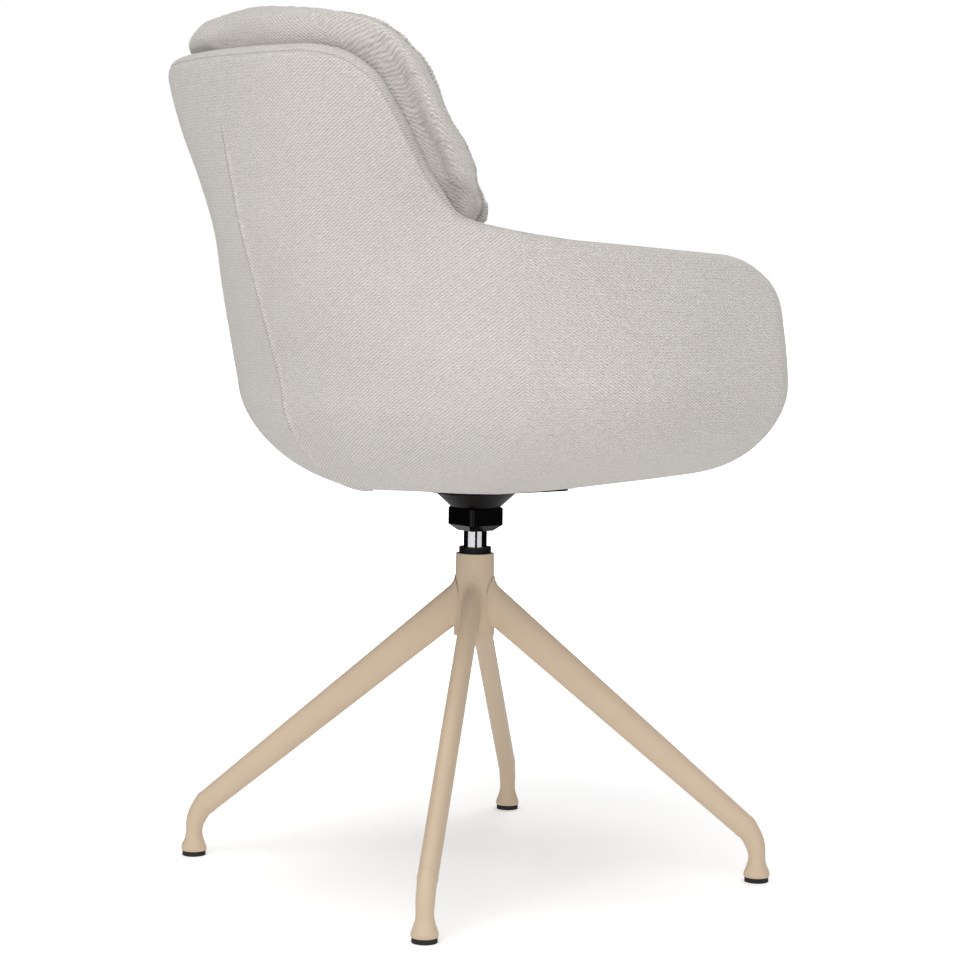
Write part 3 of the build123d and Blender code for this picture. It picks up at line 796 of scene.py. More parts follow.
def swellCaps(piece):
    facing = normalsOf(piece.data)[:, 1]
    rear = ease(facing * 2.2)
    front = backCushion["swellFront"] * (1 - rear) * ease(0.45 - facing)
    return front + backCushion["swellRear"]


backRest = swollen(back, backCushion["pressure"], swellCaps(back))
backRest = subdivided(back, backRest)


def bandRun():
    # length along the band, by the bearing of a point from the cushion's middle
    middleZ = backCushion["middleZ"]
    keys = np.array(sorted(backCushion["levels"]))
    half = np.array([backCushion["levels"][z][0] for z in keys]) + backCushion["bulge"]
    xs = np.r_[0, half, 0, -half[::-1], 0]
    zs = np.r_[keys[0], keys, keys[-1], keys[::-1], keys[0]]
    bearings = np.unwrap(np.arctan2(zs - middleZ, xs))
    around = np.arctan2(backRest[:, 2] - middleZ, backRest[:, 0])
    around = np.where(around < bearings[0], around + 2 * math.pi, around)
    return np.interp(around, bearings, lengthsAlong(np.stack([xs, zs], 1)))


def bandCreases(away):
    total = np.zeros(len(away))
    for (cx, cz), length, tilt, depth in backCushion["creases"]:
        dx, dz = backRest[:, 0] - cx, backRest[:, 2] - cz
        if abs(cx) > backCushion["bandFrom"]:
            behind, fade = backCushion["creaseFades"][0]
            beside, across = dx, dz
        else:
            behind, fade = backCushion["creaseFades"][1]
            beside, across = dz, dx
        along = away - behind
        across = across - tilt * along
        line = hump(across, backCushion["creaseWidth"]) * hump(along, length)
        total += depth * ease((away + 2) / 6) * hump(beside, fade) * line
    return total


def sewBack():
    mesh = back.data
    points, normal = coords(mesh), normalsOf(mesh)
    away = backRest[:, 1] - seamSheet(backRest[:, 0], backRest[:, 2])  # behind the seam
    run = bandRun()
    seam = hump(away, backCushion["seamWidth"])
    wave = np.sin(2 * math.pi * run / backCushion["puckerPitch"] + 1.3 * np.sin(run / 37))
    pucker = backCushion["pucker"] * hump(away, backCushion["puckerWidth"]) * wave * (1 - seam)
    rise = pucker - backCushion["seamDepth"] * seam - bandCreases(away)
    swell = smoothNoise(backRest, backCushion["swellSize"], backCushion["swellSeed"])
    rise += backCushion["unevenness"] * swell
    side = np.clip(1.6 - np.abs(normal[:, 1]) * 1.3, 0, 1)  # where the band turns to the front
    share = np.maximum(side, ease((np.abs(away) - 4) / 8))
    setCoords(mesh, points + normal * (rise * share)[:, None])
    # cloth directions: the band runs round the cushion, the two faces lie flat
    vertexOf, faceOf = perLoop(mesh)
    facing = np.zeros(len(mesh.polygons) * 3)
    mesh.polygons.foreach_get("normal", facing)
    flat = np.abs(facing.reshape(-1, 3)[:, 1]) >= backCushion["bandTurn"]
    behind = np.bincount(faceOf, away[vertexOf]) / np.bincount(faceOf)
    onBand = ((behind > 0) & (~flat | (behind < backCushion["bandDeep"])))[faceOf]
    p = backRest[vertexOf]
    corners = np.stack([p[:, 0], p[:, 2], np.full(len(p), 1.0)], 1)
    band = np.stack([p[:, 1], run[vertexOf], np.full(len(p), -0.6)], 1)
    corners[onBand] = band[onBand]
    clothOn(back, corners)
    # painted shade along the front seam, laid in the cloth's colour
    paintShade(back, backCushion["seamShade"] * hump(away, backCushion["shadeWidth"]))


sewBack()
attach(back, "seat")
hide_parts("back_cushion")


thread = {
    "length": 3.2,
    "pitch": 4.6,
    "radius": 0.55,
    "sunk": 0.1,
    "sides": 6,
    "profile": [(-0.5, 0.25), (-0.32, 0.85), (0, 1.0), (0.32, 0.85), (0.5, 0.25)],
    "dip": 0.35,  # of the radius, at a stitch's ends
}


def stitches(name, rows):
    # rows of (points, outward directions); one small rounded lozenge for each stitch
    points, faces = [], []
    sides, radius = thread["sides"], thread["radius"]
    turns = [2 * math.pi * s / sides for s in range(sides)]
    for line, outward in rows:
        run = lengthsAlong(line)
        for k in range(int(run[-1] / thread["pitch"])):
            middle = (k + 0.5) * thread["pitch"]
            p = walked(line, [middle - 0.5, middle + 0.5])
            n = walked(np.hstack([line, outward]), [middle])[0, 3:]
            way = (p[1] - p[0]) / np.linalg.norm(p[1] - p[0])
            n = n / np.linalg.norm(n)
            across = np.cross(way, n)
            centre = (p[0] + p[1]) / 2 + n * (radius * 0.55 - thread["sunk"])
            base = len(points)
            for share, width in thread["profile"]:
                dip = thread["dip"] * abs(share) * 2
                spot = centre + way * share * thread["length"] - n * dip * radius
                for a in turns:
                    out = across * math.cos(a) + n * math.sin(a)
                    points.append(spot + out * radius * width)
            for face in ringFaces(len(thread["profile"]), sides):
                faces.append(tuple(base + i for i in face))
    return addMesh(name, points, faces)


def backRow(tree, offset):
    # points and outward directions round the cushion, beside its front seam
    middleZ, start = backCushion["middleZ"], backCushion["rowStart"]
    line, outward = [], []
    for turn in np.linspace(0, 2 * math.pi, 481):
        way = np.array([math.cos(turn), 0, math.sin(turn)])
        x, z = start * way[0], middleZ + start * way[2]
        for _ in range(5):
            y = seamSheet(np.array([x]), np.array([z]))[0] + offset
            outside = np.array([0, y, middleZ]) + way * 400
            hit, normal, _, _ = tree.ray_cast(Vector(outside), Vector(-way))
            if hit is None:
                break
            x, z = hit.x, hit.z
        if hit is not None:
            line.append(np.array(hit))
            outward.append(np.array(normal))
    return np.array(line), np.array(outward)


backTree = treeOf(back)
rowsOfStitches = [backRow(backTree, way * backCushion["rowApart"]) for way in (-1, 1)]
backStitching = stitches("back_cushion_stitching", rowsOfStitches)
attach(backStitching, "seat")


# seat cushion: crowned, boxed, with a stitched edge seam

seatCushion = {
    "topZ": 484.0,
    "crown": 9.0,
    "frontY": -228.0,
    "frontBow": 38.0,
    "frontRound": 24.0,
    "frontDrop": 4.0,
    "noseZ": 432.0,
    "noseR": 15.0,
    "noseRise": 3.0,
    "noseSide": 0.6,
    "noseBackY": -164.0,
    "halfWidth": 226.0,
    "rearY": 150.0,
    "rearRound": 8.0,
    "edge": 11.0,
    "restZ": 444.0,
    "startIn": 2.6,
    "voxel": 5.0,
    "pressure": 4.0,
    "swell": 6.5,
    "seamDown": 15.0,  # edge seam, below the crown's edge
    "seamDepth": 2.2,
    "seamWidth": 2.0,
    # painted shade along the edge seam: how dark, and its width
    "seamShade": 0.4,
    "shadeWidth": 1.6,
    "middleY": -40.0,  # bearings round the edge are taken from here
    "edgeRadius": 200.0,
    "pucker": 0.4,
    "puckerPitch": 23.0,
    "puckerWidth": 12,
    "unevenness": 0.9,
    "swellSize": 110,
    "swellSeed": 17,
}


def seatShape():
    s = seatCushion
    rings = []
    centreY = shell["plan"][500][2]
    for share in np.sin(np.linspace(-math.pi / 2, math.pi / 2, 33)):
        x = s["halfWidth"] * share
        side = abs(share)
        narrow = math.sqrt(1 - (x / (s["halfWidth"] + s["edge"])) ** 2)
        rear = centreY + (s["rearY"] - centreY) * narrow
        top = s["topZ"] + s["crown"] * (1 - side**2)
        low = s["restZ"] + (s["topZ"] - s["edge"] - s["restZ"]) * side**8
        front = s["frontY"] + s["frontBow"] * side**4
        noseLow = s["noseZ"] + (low - s["noseZ"]) * side**4 * s["noseSide"]
        noseY, noseBack = front + s["noseR"], s["noseBackY"]
        topRear = (rear - s["rearRound"], top)
        topFront = (front + s["frontRound"], top - s["frontDrop"])
        noseFront, noseRear = (noseY, noseLow), (noseBack, noseLow + s["noseRise"])
        parts = [
            [(rear - (top - low) / 2, low), (rear, (top + low) / 2), topRear],
            [topRear, ((rear + front) / 2, top), topFront],
            [topFront, (front, (top + noseLow) / 2), noseFront],
            [noseFront, ((noseY + noseBack) / 2, noseLow + s["noseRise"] / 3), noseRear],
        ]
        line = []
        for part, count in zip(parts, (8, 26, 14, 6)):
            line += list(curveThrough(part, [0, 1, 2], count)[:-1])
        line += [noseRear, (noseBack, low)]
        rings.append([(x, y, z) for y, z in line])
    return np.array(rings)


print("seat cushion")
rings = seatShape()
faces = ringFaces(len(rings), rings.shape[1])
seat = addMesh("seat_cushion_cover", rings.reshape(-1, 3), faces)
faceOutward(seat)
remeshed(seat, seatCushion["voxel"])
shrunk(seat, seatCushion["startIn"])
upward = ease(normalsOf(seat.data)[:, 2] + 0.3)
seatCaps = seatCushion["startIn"] + (seatCushion["swell"] - seatCushion["startIn"]) * upward
seatRest = swollen(seat, seatCushion["pressure"], seatCaps)
seatRest = subdivided(seat, seatRest)


def seamHeight(x):
    crown = seatCushion["crown"] * (1 - (x / seatCushion["halfWidth"]) ** 2)
    return seatCushion["topZ"] + crown - seatCushion["seamDown"]


def sewSeat():
    mesh = seat.data
    points, normal = coords(mesh), normalsOf(mesh)
    middleY, radius = seatCushion["middleY"], seatCushion["edgeRadius"]
    away = seatRest[:, 2] - seamHeight(seatRest[:, 0])
    rise = -seatCushion["seamDepth"] * hump(away, seatCushion["seamWidth"])
    run = np.arctan2(seatRest[:, 1] - middleY, seatRest[:, 0]) * radius
    wave = np.sin(2 * math.pi * run / seatCushion["puckerPitch"] + 1.1 * np.sin(run / 41))
    rise += seatCushion["pucker"] * hump(away, seatCushion["puckerWidth"]) * wave
    swell = smoothNoise(seatRest, seatCushion["swellSize"], seatCushion["swellSeed"])
    rise += seatCushion["unevenness"] * swell
    setCoords(mesh, points + normal * rise[:, None])
    # cloth directions: below the seam it runs round the cushion, above it lies flat
    vertexOf, faceOf = perLoop(mesh)
    low = (np.bincount(faceOf, away[vertexOf]) / np.bincount(faceOf) < 0)[faceOf]
    p = seatRest[vertexOf]
    corners = np.stack([p[:, 0], p[:, 1], np.full(len(p), 1.0)], 1)
    turn = np.arctan2(p[:, 1] - middleY, p[:, 0])
    turn = np.where(turn < -math.pi / 2, turn + 2 * math.pi, turn)
    edge = np.stack([turn * radius, p[:, 2], np.full(len(p), -1.0)], 1)
    corners[low] = edge[low]
    clothOn(seat, corners)
    # painted shade along the edge seam, laid in the cloth's colour
    paintShade(seat, seatCushion["seamShade"] * hump(away, seatCushion["shadeWidth"]))


sewSeat()
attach(seat, "seat")
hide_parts("seat_cushion")


# front panel: closes the shell under the cushion's front roll

frontPanel = {
    "halfWidth": 206.0,
    "rearY": -57.5,
    "bendY": -136.0,
    "frontY": -166.0,
    "topZ": 438.0,
    "sideBack": 20.0,  # the ends stand this much further back than the middle
    "flatZ": 401.3,  # level middle, under the core's floor
    "flatHalf": 114.0,
    "blend": 26.0,
    "depth": 8.5,  # under the shell's own surface, outside the level middle
    "thick": 1.6,
}


def panelRows():
    p = frontPanel
    xs = p["halfWidth"] * np.linspace(-1, 1, 61)
    uncut = shell["frontY"] + shell["noseBottom"] + 1  # the belly further forward is rounded off
    rows = []
    for y in np.linspace(p["rearY"], p["bendY"], 14):
        rib = station(y=max(y, uncut))
        line = np.array([underSkin(rib, t, p["depth"]) for t in np.linspace(0, 0.9, 40)])
        belly = np.interp(np.abs(xs), line[:, 0], line[:, 1])
        beside = ease((np.abs(xs) - p["flatHalf"]) / p["blend"])
        height = p["flatZ"] + (belly - p["flatZ"]) * beside
        rows.append(np.stack([xs, np.full(len(xs), y), height], 1))
    _, y, z = rows[-1].T
    deep = p["bendY"] - p["frontY"] - p["sideBack"] * (np.abs(xs) / p["halfWidth"]) ** 3
    high = np.maximum(p["topZ"] - z, 4)
    for a in np.linspace(0, math.pi / 2, 12)[1:]:
        rows.append(np.stack([xs, y - deep * math.sin(a), z + high * (1 - math.cos(a))], 1))
    return np.array(rows)


def makeFrontPanel():
    outer = panelRows()
    normal = np.cross(np.gradient(outer, axis=0), np.gradient(outer, axis=1))
    normal /= np.linalg.norm(normal, axis=2, keepdims=True)
    if normal[3, 30, 2] > 0:
        normal = -normal
    inner = outer - normal * frontPanel["thick"]
    count, width = outer.shape[:2]
    size = count * width
    faces = []
    for i in range(count - 1):
        for j in range(width - 1):
            a, b = i * width + j, (i + 1) * width + j
            faces.append((a, a + 1, b + 1, b))
            faces.append((size + a, size + b, size + b + 1, size + a + 1))
    edge = [i * width for i in range(count)]
    edge += [(count - 1) * width + j for j in range(1, width)]
    edge += [i * width + width - 1 for i in range(count - 2, -1, -1)]
    edge += range(width - 2, 0, -1)
    faces += [(a, b, size + b, size + a) for a, b in zip(edge, edge[1:] + edge[:1])]
    piece = addMesh("front_panel", np.stack([outer, inner]).reshape(-1, 3), faces)
    faceOutward(piece)
    vertexOf, _ = perLoop(piece.data)
    run = gridLengths(outer, 0)
    lies = np.stack([outer[:, :, 0], run, np.full(run.shape, 0.6)], 2).reshape(-1, 3)
    clothOn(piece, np.vstack([lies, lies])[vertexOf])
    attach(piece, "seat")
    return piece


print("front panel")
front = makeFrontPanel()


# welds: a soft fillet round each leg where it meets the hub

weld = {
    "legs": {  # each leg's bearing
        "leg_front_left": -45, "leg_front_right": -135, "leg_rear_left": 45, "leg_rear_right": 135,
    },
    "steps": 56,
    "probe": 9.0,  # the leg's section is taken this far out of the hub
    "probeStep": 12.0,  # and its direction over this length
    "above": 60.0,  # rays start this far off
    "below": 120.0,
    "reach": 7.5,
    "legShare": 1.5,  # the fillet reaches this much further along the leg
    "sunk": 1.4,
    "skin": 0.12,
    "edge": 0.4,  # kept free of the hub's two ends
}


def legSection(tree, turn, hubR, low, high):
    # points and normals round the leg just outside the hub, and the leg's own direction there
    out = np.array([math.cos(turn), math.sin(turn), 0])
    across = np.array([-math.sin(turn), math.cos(turn), 0])

    def middleAt(r):
        above, below = out * r, out * r
        above[2], below[2] = high + weld["above"], low - weld["below"]
        top = tree.ray_cast(Vector(above), Vector((0, 0, -1)))[0]
        bottom = tree.ray_cast(Vector(below), Vector((0, 0, 1)))[0]
        return np.array((top + bottom) / 2)

    first = middleAt(hubR + weld["probe"])
    second = middleAt(hubR + weld["probe"] + weld["probeStep"])
    along = (second - first) / np.linalg.norm(second - first)
    upright = np.cross(across, along)
    points, normals = [], []
    for a in np.linspace(0, 2 * math.pi, weld["steps"], endpoint=False):
        way = across * math.cos(a) + upright * math.sin(a)
        hit, normal, _, _ = tree.ray_cast(Vector(first + way * weld["above"]), Vector(-way))
        points.append(np.array(hit))
        normals.append(np.array(normal) if np.dot(normal, way) > 0 else -np.array(normal))
    return np.array(points), np.array(normals), along


def makeWeld(leg, turn):
    low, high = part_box("base_hub")
    hubR = (high[0] - low[0]) / 2 / mm
    lowZ, highZ = low[2] / mm, high[2] / mm
    tree = treeOf(frame["nodes"][leg])
    section, normals, along = legSection(tree, math.radians(turn), hubR, lowZ, highZ)
    rings = []
    for p, n in zip(section, normals):
        # back along the leg to the hub's face
        a = along[0] ** 2 + along[1] ** 2
        b = p[0] * along[0] + p[1] * along[1]
        c = p[0] ** 2 + p[1] ** 2 - hubR**2
        meet = p - along * ((b - math.sqrt(max(b * b - a * c, 0))) / a)
        hubOut = np.array([meet[0], meet[1], 0]) / np.hypot(meet[0], meet[1])
        aside = n - hubOut * np.dot(n, hubOut)
        aside /= np.linalg.norm(aside)
        onHub = meet + aside * weld["reach"]
        onHub[:2] *= (hubR - weld["skin"]) / np.hypot(onHub[0], onHub[1])
        onHub[2] = min(max(onHub[2], lowZ + weld["edge"]), highZ - weld["edge"])
        onLeg = meet + along * weld["reach"] * weld["legShare"] - n * weld["skin"]
        t = np.linspace(0, 1, 9)[:, None]
        arc = onHub * (1 - t) ** 2 + 2 * meet * t * (1 - t) + onLeg * t**2
        inside = meet - (n + hubOut) * weld["sunk"]
        rings.append(np.vstack([arc, inside]))
    rings = np.array(rings)
    faces = ringFaces(len(rings), rings.shape[1], closed=True)
    piece = addMesh("weld_" + leg[4:], rings.reshape(-1, 3), faces)
    faceOutward(piece)
    piece.data.set_sharp_from_angle(angle=1.0)
    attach(piece, "base")
    return piece


print("welds")
welds = [makeWeld(leg, turn) for leg, turn in weld["legs"].items()]


# materials

def toLinear(red, green, blue):
    def one(c):
        c /= 255
        return c / 12.92 if c <= 0.04045 else ((c + 0.055) / 1.055) ** 2.4

    return one(red), one(green), one(blue), 1


class Nodes:
    # a short way to wire up a material, or the world
    def __init__(self, owner):
        owner.use_nodes = True
        self.owner = owner
        self.tree = owner.node_tree
        self.shader = self.tree.nodes.get("Principled BSDF")

    def add(self, kind, **values):
        node = self.tree.nodes.new("ShaderNode" + kind)
        for key, value in values.items():
            if key in node.inputs:
                node.inputs[key].default_value = value
            else:
                setattr(node, key, value)
        return node

    def fill(self, value, socket):
        # a socket gets a link or a plain value
        if isinstance(value, bpy.types.NodeSocket):
            self.tree.links.new(value, socket)
        else:
            socket.default_value = value

    def surface(self, **values):
        for name, value in values.items():
            self.shader.inputs[name.replace("_", " ")].default_value = value

    def colour(self, value):
        self.fill(value, self.shader.inputs["Base Color"])

    def math(self, operation, *values):
        node = self.add("Math", operation=operation)
        for value, socket in zip(values, node.inputs):
            self.fill(value, socket)
        return node.outputs[0]

    def noise(self, where, scale, detail=2.0, rough=0.5):
        node = self.add("TexNoise", Scale=scale, Detail=detail, Roughness=rough)
        self.fill(where, node.inputs["Vector"])
        return node.outputs["Fac"]

    def varied(self, base, texture, amount):
        # the base value, with a texture's ups and downs added
        return self.math("ADD", base, self.math("MULTIPLY", self.centred(texture), amount))

    def centred(self, texture):
        return self.math("SUBTRACT", texture, 0.5)

    def mix(self, share, a, b):
        node = self.add("Mix", data_type="RGBA")
        self.fill(share, node.inputs["Factor"])
        for value, name in ((a, "A"), (b, "B")):
            self.fill(value, [s for s in node.inputs if s.name == name and s.type == "RGBA"][0])
        return [s for s in node.outputs if s.type == "RGBA"][0]

    def bump(self, height, distance, strength):
        node = self.add("Bump", Distance=distance, Strength=strength)
        self.fill(height, node.inputs["Height"])
        self.fill(node.outputs["Normal"], self.shader.inputs["Normal"])

    def where(self):
        return self.add("TexCoord").outputs["Object"]

    def painted(self, name):
        return self.add("Attribute", attribute_name=name, attribute_type="GEOMETRY").outputs

fabric = {
    "light": (230, 226, 221),
    "dark": (158, 152, 147),
    # the colour of painted shade, laid on where seams and the hem would lie in shadow
    "painted_shade": (84, 79, 75),
    "across": 0.235,  # threads per millimetre, across and down
    "down": 0.345,
    "lean": 0.28,  # how far one way of leaning wins over the other
    "weave": 0.25,
    "level": 0.25,
    "slub": 1.1,
    "slubScale": 0.62,
    "patch": 0.14,
    "patchScale": 9.0,
    "drift": 3.0,  # how far the threads wander, in millimetres
    "driftScale": 0.06,
    "shake": 1.3,
    "shakeScale": 0.5,
    "relief": 0.0004,
}


def makeFabric(name, look):
    m = Nodes(bpy.data.materials.new(name))
    cloth = m.painted("cloth")["Vector"]
    parts = m.add("SeparateXYZ")
    m.fill(cloth, parts.inputs[0])
    u, v, lean = parts.outputs
    wander = m.math("MULTIPLY", m.centred(m.noise(cloth, look["driftScale"])), look["drift"])
    wander = m.varied(wander, m.noise(cloth, look["shakeScale"]), look["shake"])
    across = m.math("MULTIPLY", m.math("ADD", u, wander), look["across"] * 2 * math.pi)
    down = m.math("MULTIPLY", m.math("ADD", v, wander), look["down"] * 2 * math.pi)
    rising = m.math("SINE", m.math("SUBTRACT", down, across))
    falling = m.math("SINE", m.math("ADD", down, across))
    share = m.math("MULTIPLY_ADD", lean, look["lean"], 0.5)
    other = m.math("SUBTRACT", 1.0, share)
    weave = m.math("ADD", m.math("MULTIPLY", rising, share), m.math("MULTIPLY", falling, other))
    weave = m.math("MULTIPLY_ADD", m.math("SINE", down), look["level"], weave)
    slub = m.noise(cloth, look["slubScale"], 3.0, 0.75)
    tone = m.math("MULTIPLY_ADD", weave, look["weave"], 0.5)
    tone = m.varied(tone, slub, look["slub"])
    tone = m.varied(tone, m.noise(m.where(), look["patchScale"], 3.0), look["patch"])
    colour = m.mix(tone, toLinear(*look["dark"]), toLinear(*look["light"]))
    # painted shade: seams and hems are drawn towards the painted shade colour by the painted
    # attribute
    m.colour(m.mix(m.painted("painted_shade")["Fac"], colour, toLinear(*look["painted_shade"])))
    m.surface(Roughness=0.92, Sheen_Weight=0.2, Sheen_Roughness=0.5, Specular_IOR_Level=0.25)
    height = m.math("ADD", m.math("MULTIPLY", weave, 0.5), m.math("MULTIPLY", slub, 1.1))
    m.bump(height, look["relief"], 0.8)
    return m.owner


coat = {
    "colour": (204, 183, 158),
    "darker": (0.95, 0.945, 0.93),  # the slight drift of its tone, as shares of the colour
    "lighter": (1.05, 1.05, 1.06),
    "roughness": 0.5,
    "vary": 0.12,
    "grain": 0.00005,
}


def shaded(colour, shares):
    return tuple(c * share for c, share in zip(toLinear(*colour), shares)) + (1,)


def makeCoat(name, look):
    # powder coat: a fine orange-peel surface with slight drifts of tone
    m = Nodes(bpy.data.materials.new(name))
    here = m.where()
    drift = m.noise(here, 14.0, 3.0)
    darker = shaded(look["colour"], look["darker"])
    lighter = shaded(look["colour"], look["lighter"])
    m.colour(m.mix(drift, darker, lighter))
    rough = m.math("MULTIPLY_ADD", m.centred(drift), look["vary"], look["roughness"])
    m.fill(rough, m.shader.inputs["Roughness"])
    m.bump(m.noise(here, 900.0), look["grain"], 0.6)
    return m.owner


plainFinishes = {
    "stitching_thread": {
        "colour": (196, 190, 183), "roughness": 0.8, "grain": 0.0001, "scale": 2500.0,
    },
    "black_plastic": {"colour": (7, 7, 9), "roughness": 0.42, "gloss": 0.16},
    "acetal": {"colour": (236, 235, 230), "roughness": 0.4},
    "chrome": {
        "colour": (228, 229, 232), "roughness": 0.07, "metallic": 1.0,
        "grain": 0.00001, "vary": 0.03,
    },
    "zinc_steel": {"colour": (178, 181, 186), "roughness": 0.38, "metallic": 1.0},
    "black_steel": {"colour": (4, 4, 5), "roughness": 0.2, "grain": 0.00001, "gloss": 0.2},
    "black_rubber": {"colour": (20, 20, 20), "roughness": 0.7, "grain": 0.00008},
}
usualFinish = {"metallic": 0.0, "grain": 0.00003, "scale": 700.0, "vary": 0.08, "gloss": 0.5}


def makePlain(name, look):
    look = {**usualFinish, **look}
    m = Nodes(bpy.data.materials.new(name))
    here = m.where()
    wide = m.noise(here, 40.0, 3.0)
    m.colour(m.mix(wide, shaded(look["colour"], (0.85,) * 3), shaded(look["colour"], (1.15,) * 3)))
    rough = m.math("MULTIPLY_ADD", m.centred(wide), look["vary"], look["roughness"])
    m.fill(rough, m.shader.inputs["Roughness"])
    m.surface(Metallic=look["metallic"], Specular_IOR_Level=look["gloss"])
    m.bump(m.noise(here, look["scale"]), look["grain"], 0.5)
    return m.owner


plywood = {"pale": (222, 192, 150), "dark": (168, 132, 92), "ply": 0.0016, "plyShade": 0.12}


def makePlywood(name, look):
    m = Nodes(bpy.data.materials.new(name))
    here = m.where()
    parts = m.add("SeparateXYZ")
    m.fill(here, parts.inputs[0])
    plies = m.math("SINE", m.math("MULTIPLY", parts.outputs[2], 2 * math.pi / look["ply"]))
    stretch = m.add("Mapping", Scale=(6, 90, 90))
    m.fill(here, stretch.inputs["Vector"])
    grain = m.noise(stretch.outputs[0], 4.0, 5.0, 0.6)
    tone = m.math("ADD", m.math("MULTIPLY", plies, look["plyShade"]), grain)
    m.colour(m.mix(tone, toLinear(*look["dark"]), toLinear(*look["pale"])))
    m.surface(Roughness=0.65)
    m.bump(grain, 0.00015, 0.4)
    return m.owner


nonwoven = {"dark": (18, 18, 19), "light": (52, 52, 54), "cells": 650.0, "fibres": 1500.0}


def makeNonwoven(name, look):
    m = Nodes(bpy.data.materials.new(name))
    here = m.where()
    cells = m.add("TexVoronoi", Scale=look["cells"])
    m.fill(here, cells.inputs["Vector"])
    fibre = m.math("MULTIPLY", m.noise(here, look["fibres"], 3.0), 0.6)
    tone = m.math("ADD", m.math("MULTIPLY", cells.outputs["Distance"], 0.5), fibre)
    m.colour(m.mix(tone, toLinear(*look["dark"]), toLinear(*look["light"])))
    m.surface(Roughness=0.95)
    m.bump(tone, 0.0002, 0.6)
    return m.owner


print("materials")
finishOf = {name: makePlain(name, look) for name, look in plainFinishes.items()}
finishOf["upholstery"] = makeFabric("upholstery", fabric)
finishOf["beige_powder_coat"] = makeCoat("beige_powder_coat", coat)
finishOf["plywood"] = makePlywood("plywood", plywood)
finishOf["black_nonwoven"] = makeNonwoven("black_nonwoven", nonwoven)
slotOf = {part["node"]: part["material_slot"] for part in frame["record"]["subparts"]}
for node, piece in frame["nodes"].items():
    piece.data.materials.clear()
    piece.data.materials.append(finishOf[slotOf[node]])
for piece in (coverLeft, coverRight, back, seat, front):
    piece.data.materials.append(finishOf["upholstery"])
backStitching.data.materials.append(finishOf["stitching_thread"])
for piece in welds:
    piece.data.materials.append(finishOf["beige_powder_coat"])


# floor, light and background

studio = {
    # seen by the camera only: lifts the paper to white, except close under the chair
    "floorLift": ((0.08, 0.05), (0.34, 0.24), (0.8, 0.26), (1.6, 1.0)),  # metres off, strength
    "floorHalf": 30.0,
    "world": 0.58,
    "lamps": {
        # turn is counted from +X, and aim is the height that the lamp looks at
        "key": {"energy": 86, "turn": 120, "rise": 54, "far": 4.6, "size": 4.0, "aim": 0.45},
        # low and on the camera's side, for the hub and the block
        "fill": {"energy": 8, "turn": 143, "rise": 4, "far": 2.2, "size": 0.9, "aim": 0.33},
        # so that the chair's front isn't dull in other views
        "front": {"energy": 34, "turn": -62, "rise": 34, "far": 3.6, "size": 3.0, "aim": 0.5},
    },
    "cardFar": 1.6,  # dark cards that only gloss sees, with gaps between them
    "cardHeight": 2.2,
    "cardTurns": ((137.0, 163.0), (208.0, 428.0)),
}


def addCard(number, first, last):
    # one dark card, bent round the chair
    turns = np.radians(np.linspace(first, last, max(2, int((last - first) / 6))))
    far = studio["cardFar"] / mm
    low = [(far * math.cos(a), far * math.sin(a), 2) for a in turns]
    high = [(x, y, studio["cardHeight"] / mm) for x, y, _ in low]
    count = len(low)
    faces = [(i, i + 1, count + i + 1, count + i) for i in range(count - 1)]
    card = addMesh("card_%d" % number, low + high, faces)
    m = Nodes(bpy.data.materials.new("card_%d" % number))
    m.colour(m.mix(m.noise(m.where(), 3.0), (0, 0, 0, 1), (0.004, 0.004, 0.004, 1)))
    m.surface(Roughness=1.0, Specular_IOR_Level=0.0)
    card.data.materials.append(m.owner)
    card.visible_camera = card.visible_diffuse = card.visible_shadow = False
    card.visible_transmission = card.visible_volume_scatter = False


def addLamp(name, look):
    lamp = bpy.data.lights.new(name, "AREA")
    lamp.shape = "DISK"
    lamp.size = look["size"]
    lamp.energy = look["energy"]
    holder = bpy.data.objects.new(name, lamp)
    bpy.context.scene.collection.objects.link(holder)
    turn, rise = math.radians(look["turn"]), math.radians(look["rise"])
    level = math.cos(rise)
    way = Vector((math.cos(turn) * level, math.sin(turn) * level, math.sin(rise)))
    holder.location = Vector((0, 0, look["aim"])) + way * look["far"]
    holder.rotation_mode = "QUATERNION"
    holder.rotation_quaternion = (-way).to_track_quat("-Z", "Y")


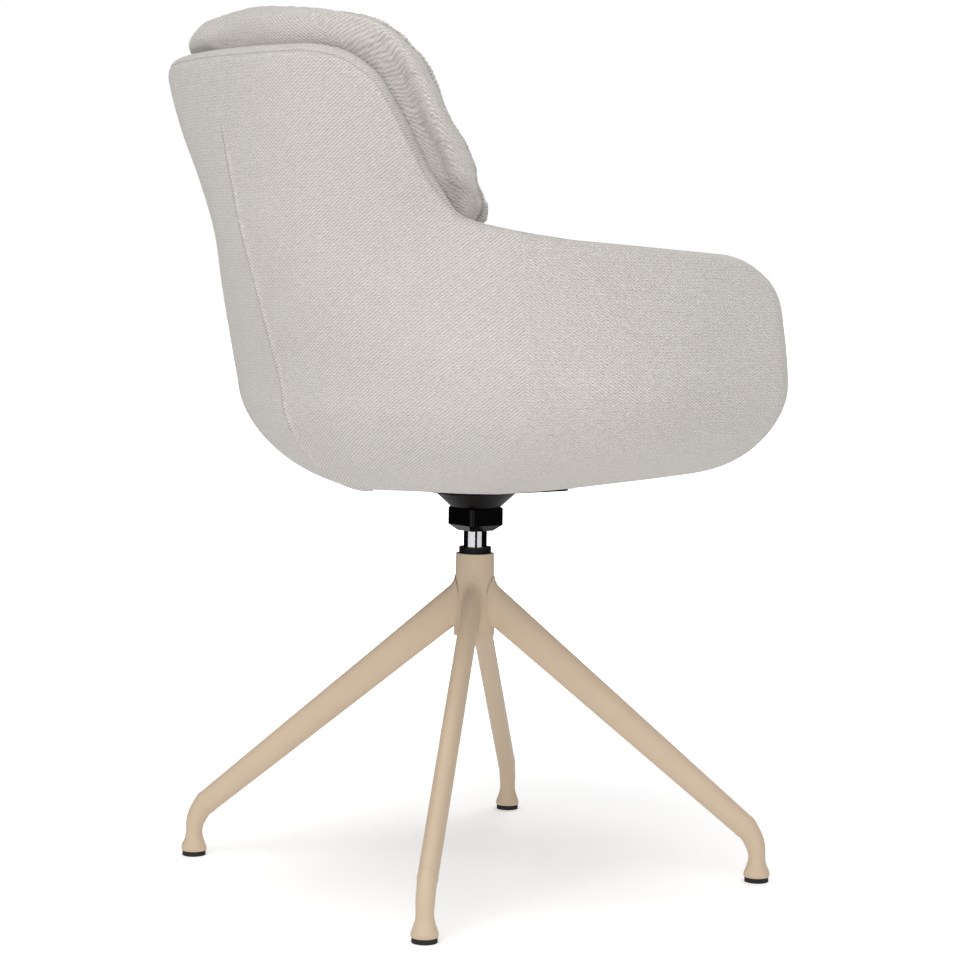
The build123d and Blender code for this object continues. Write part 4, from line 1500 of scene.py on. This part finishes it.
def addFloor():
    corners = np.array([(-1, -1, 0), (1, -1, 0), (1, 1, 0), (-1, 1, 0)])
    floor = addMesh("floor", corners * studio["floorHalf"] / mm, [(0, 1, 2, 3)])
    m = Nodes(bpy.data.materials.new("floor_paper"))
    here = m.where()
    m.colour(m.mix(m.noise(here, 60.0, 3.0), toLinear(248, 248, 248), toLinear(252, 252, 252)))
    m.surface(Roughness=0.9, Specular_IOR_Level=0.1)
    parts = m.add("SeparateXYZ")
    m.fill(here, parts.inputs[0])
    x, y, _ = parts.outputs
    away = m.math("SQRT", m.math("MULTIPLY_ADD", x, x, m.math("MULTIPLY", y, y)))
    lift = studio["floorLift"][0][1]
    for (first, weak), (last, strong) in zip(studio["floorLift"], studio["floorLift"][1:]):
        ramp = m.add("MapRange", interpolation_type="SMOOTHSTEP")
        m.fill(away, ramp.inputs["Value"])
        m.fill(first, ramp.inputs["From Min"])
        m.fill(last, ramp.inputs["From Max"])
        m.fill(strong - weak, ramp.inputs["To Max"])
        lift = m.math("ADD", ramp.outputs["Result"], lift)
    glow = m.add("Emission", Color=(1, 1, 1, 1))
    seen = m.add("LightPath").outputs["Is Camera Ray"]
    m.fill(m.math("MULTIPLY", seen, lift), glow.inputs["Strength"])
    both = m.add("AddShader")
    m.fill(m.shader.outputs[0], both.inputs[0])
    m.fill(glow.outputs[0], both.inputs[1])
    m.fill(both.outputs[0], m.tree.nodes["Material Output"].inputs["Surface"])
    floor.data.materials.append(m.owner)


def addWorld():
    # pale light all round; camera, gloss and glass see plain white
    world = bpy.data.worlds.new("studio")
    bpy.context.scene.world = world
    w = Nodes(world)
    light = w.tree.nodes["Background"]
    w.fill((1, 1, 1, 1), light.inputs["Color"])
    w.fill(studio["world"], light.inputs["Strength"])
    white = w.add("Background", Color=(1, 1, 1, 1), Strength=1.0)
    path = w.add("LightPath").outputs
    direct = w.math("MAXIMUM", path["Is Camera Ray"], path["Is Glossy Ray"])
    direct = w.math("MAXIMUM", direct, path["Is Transmission Ray"])
    choose = w.add("MixShader")
    for value, socket in zip((direct, light.outputs[0], white.outputs[0]), choose.inputs):
        w.fill(value, socket)
    w.fill(choose.outputs[0], w.tree.nodes["World Output"].inputs["Surface"])


print("studio")
addFloor()
addWorld()
for name, look in studio["lamps"].items():
    addLamp(name, look)
for number, (first, last) in enumerate(studio["cardTurns"]):
    addCard(number, first, last)
bpy.context.scene.view_settings.view_transform = "Standard"
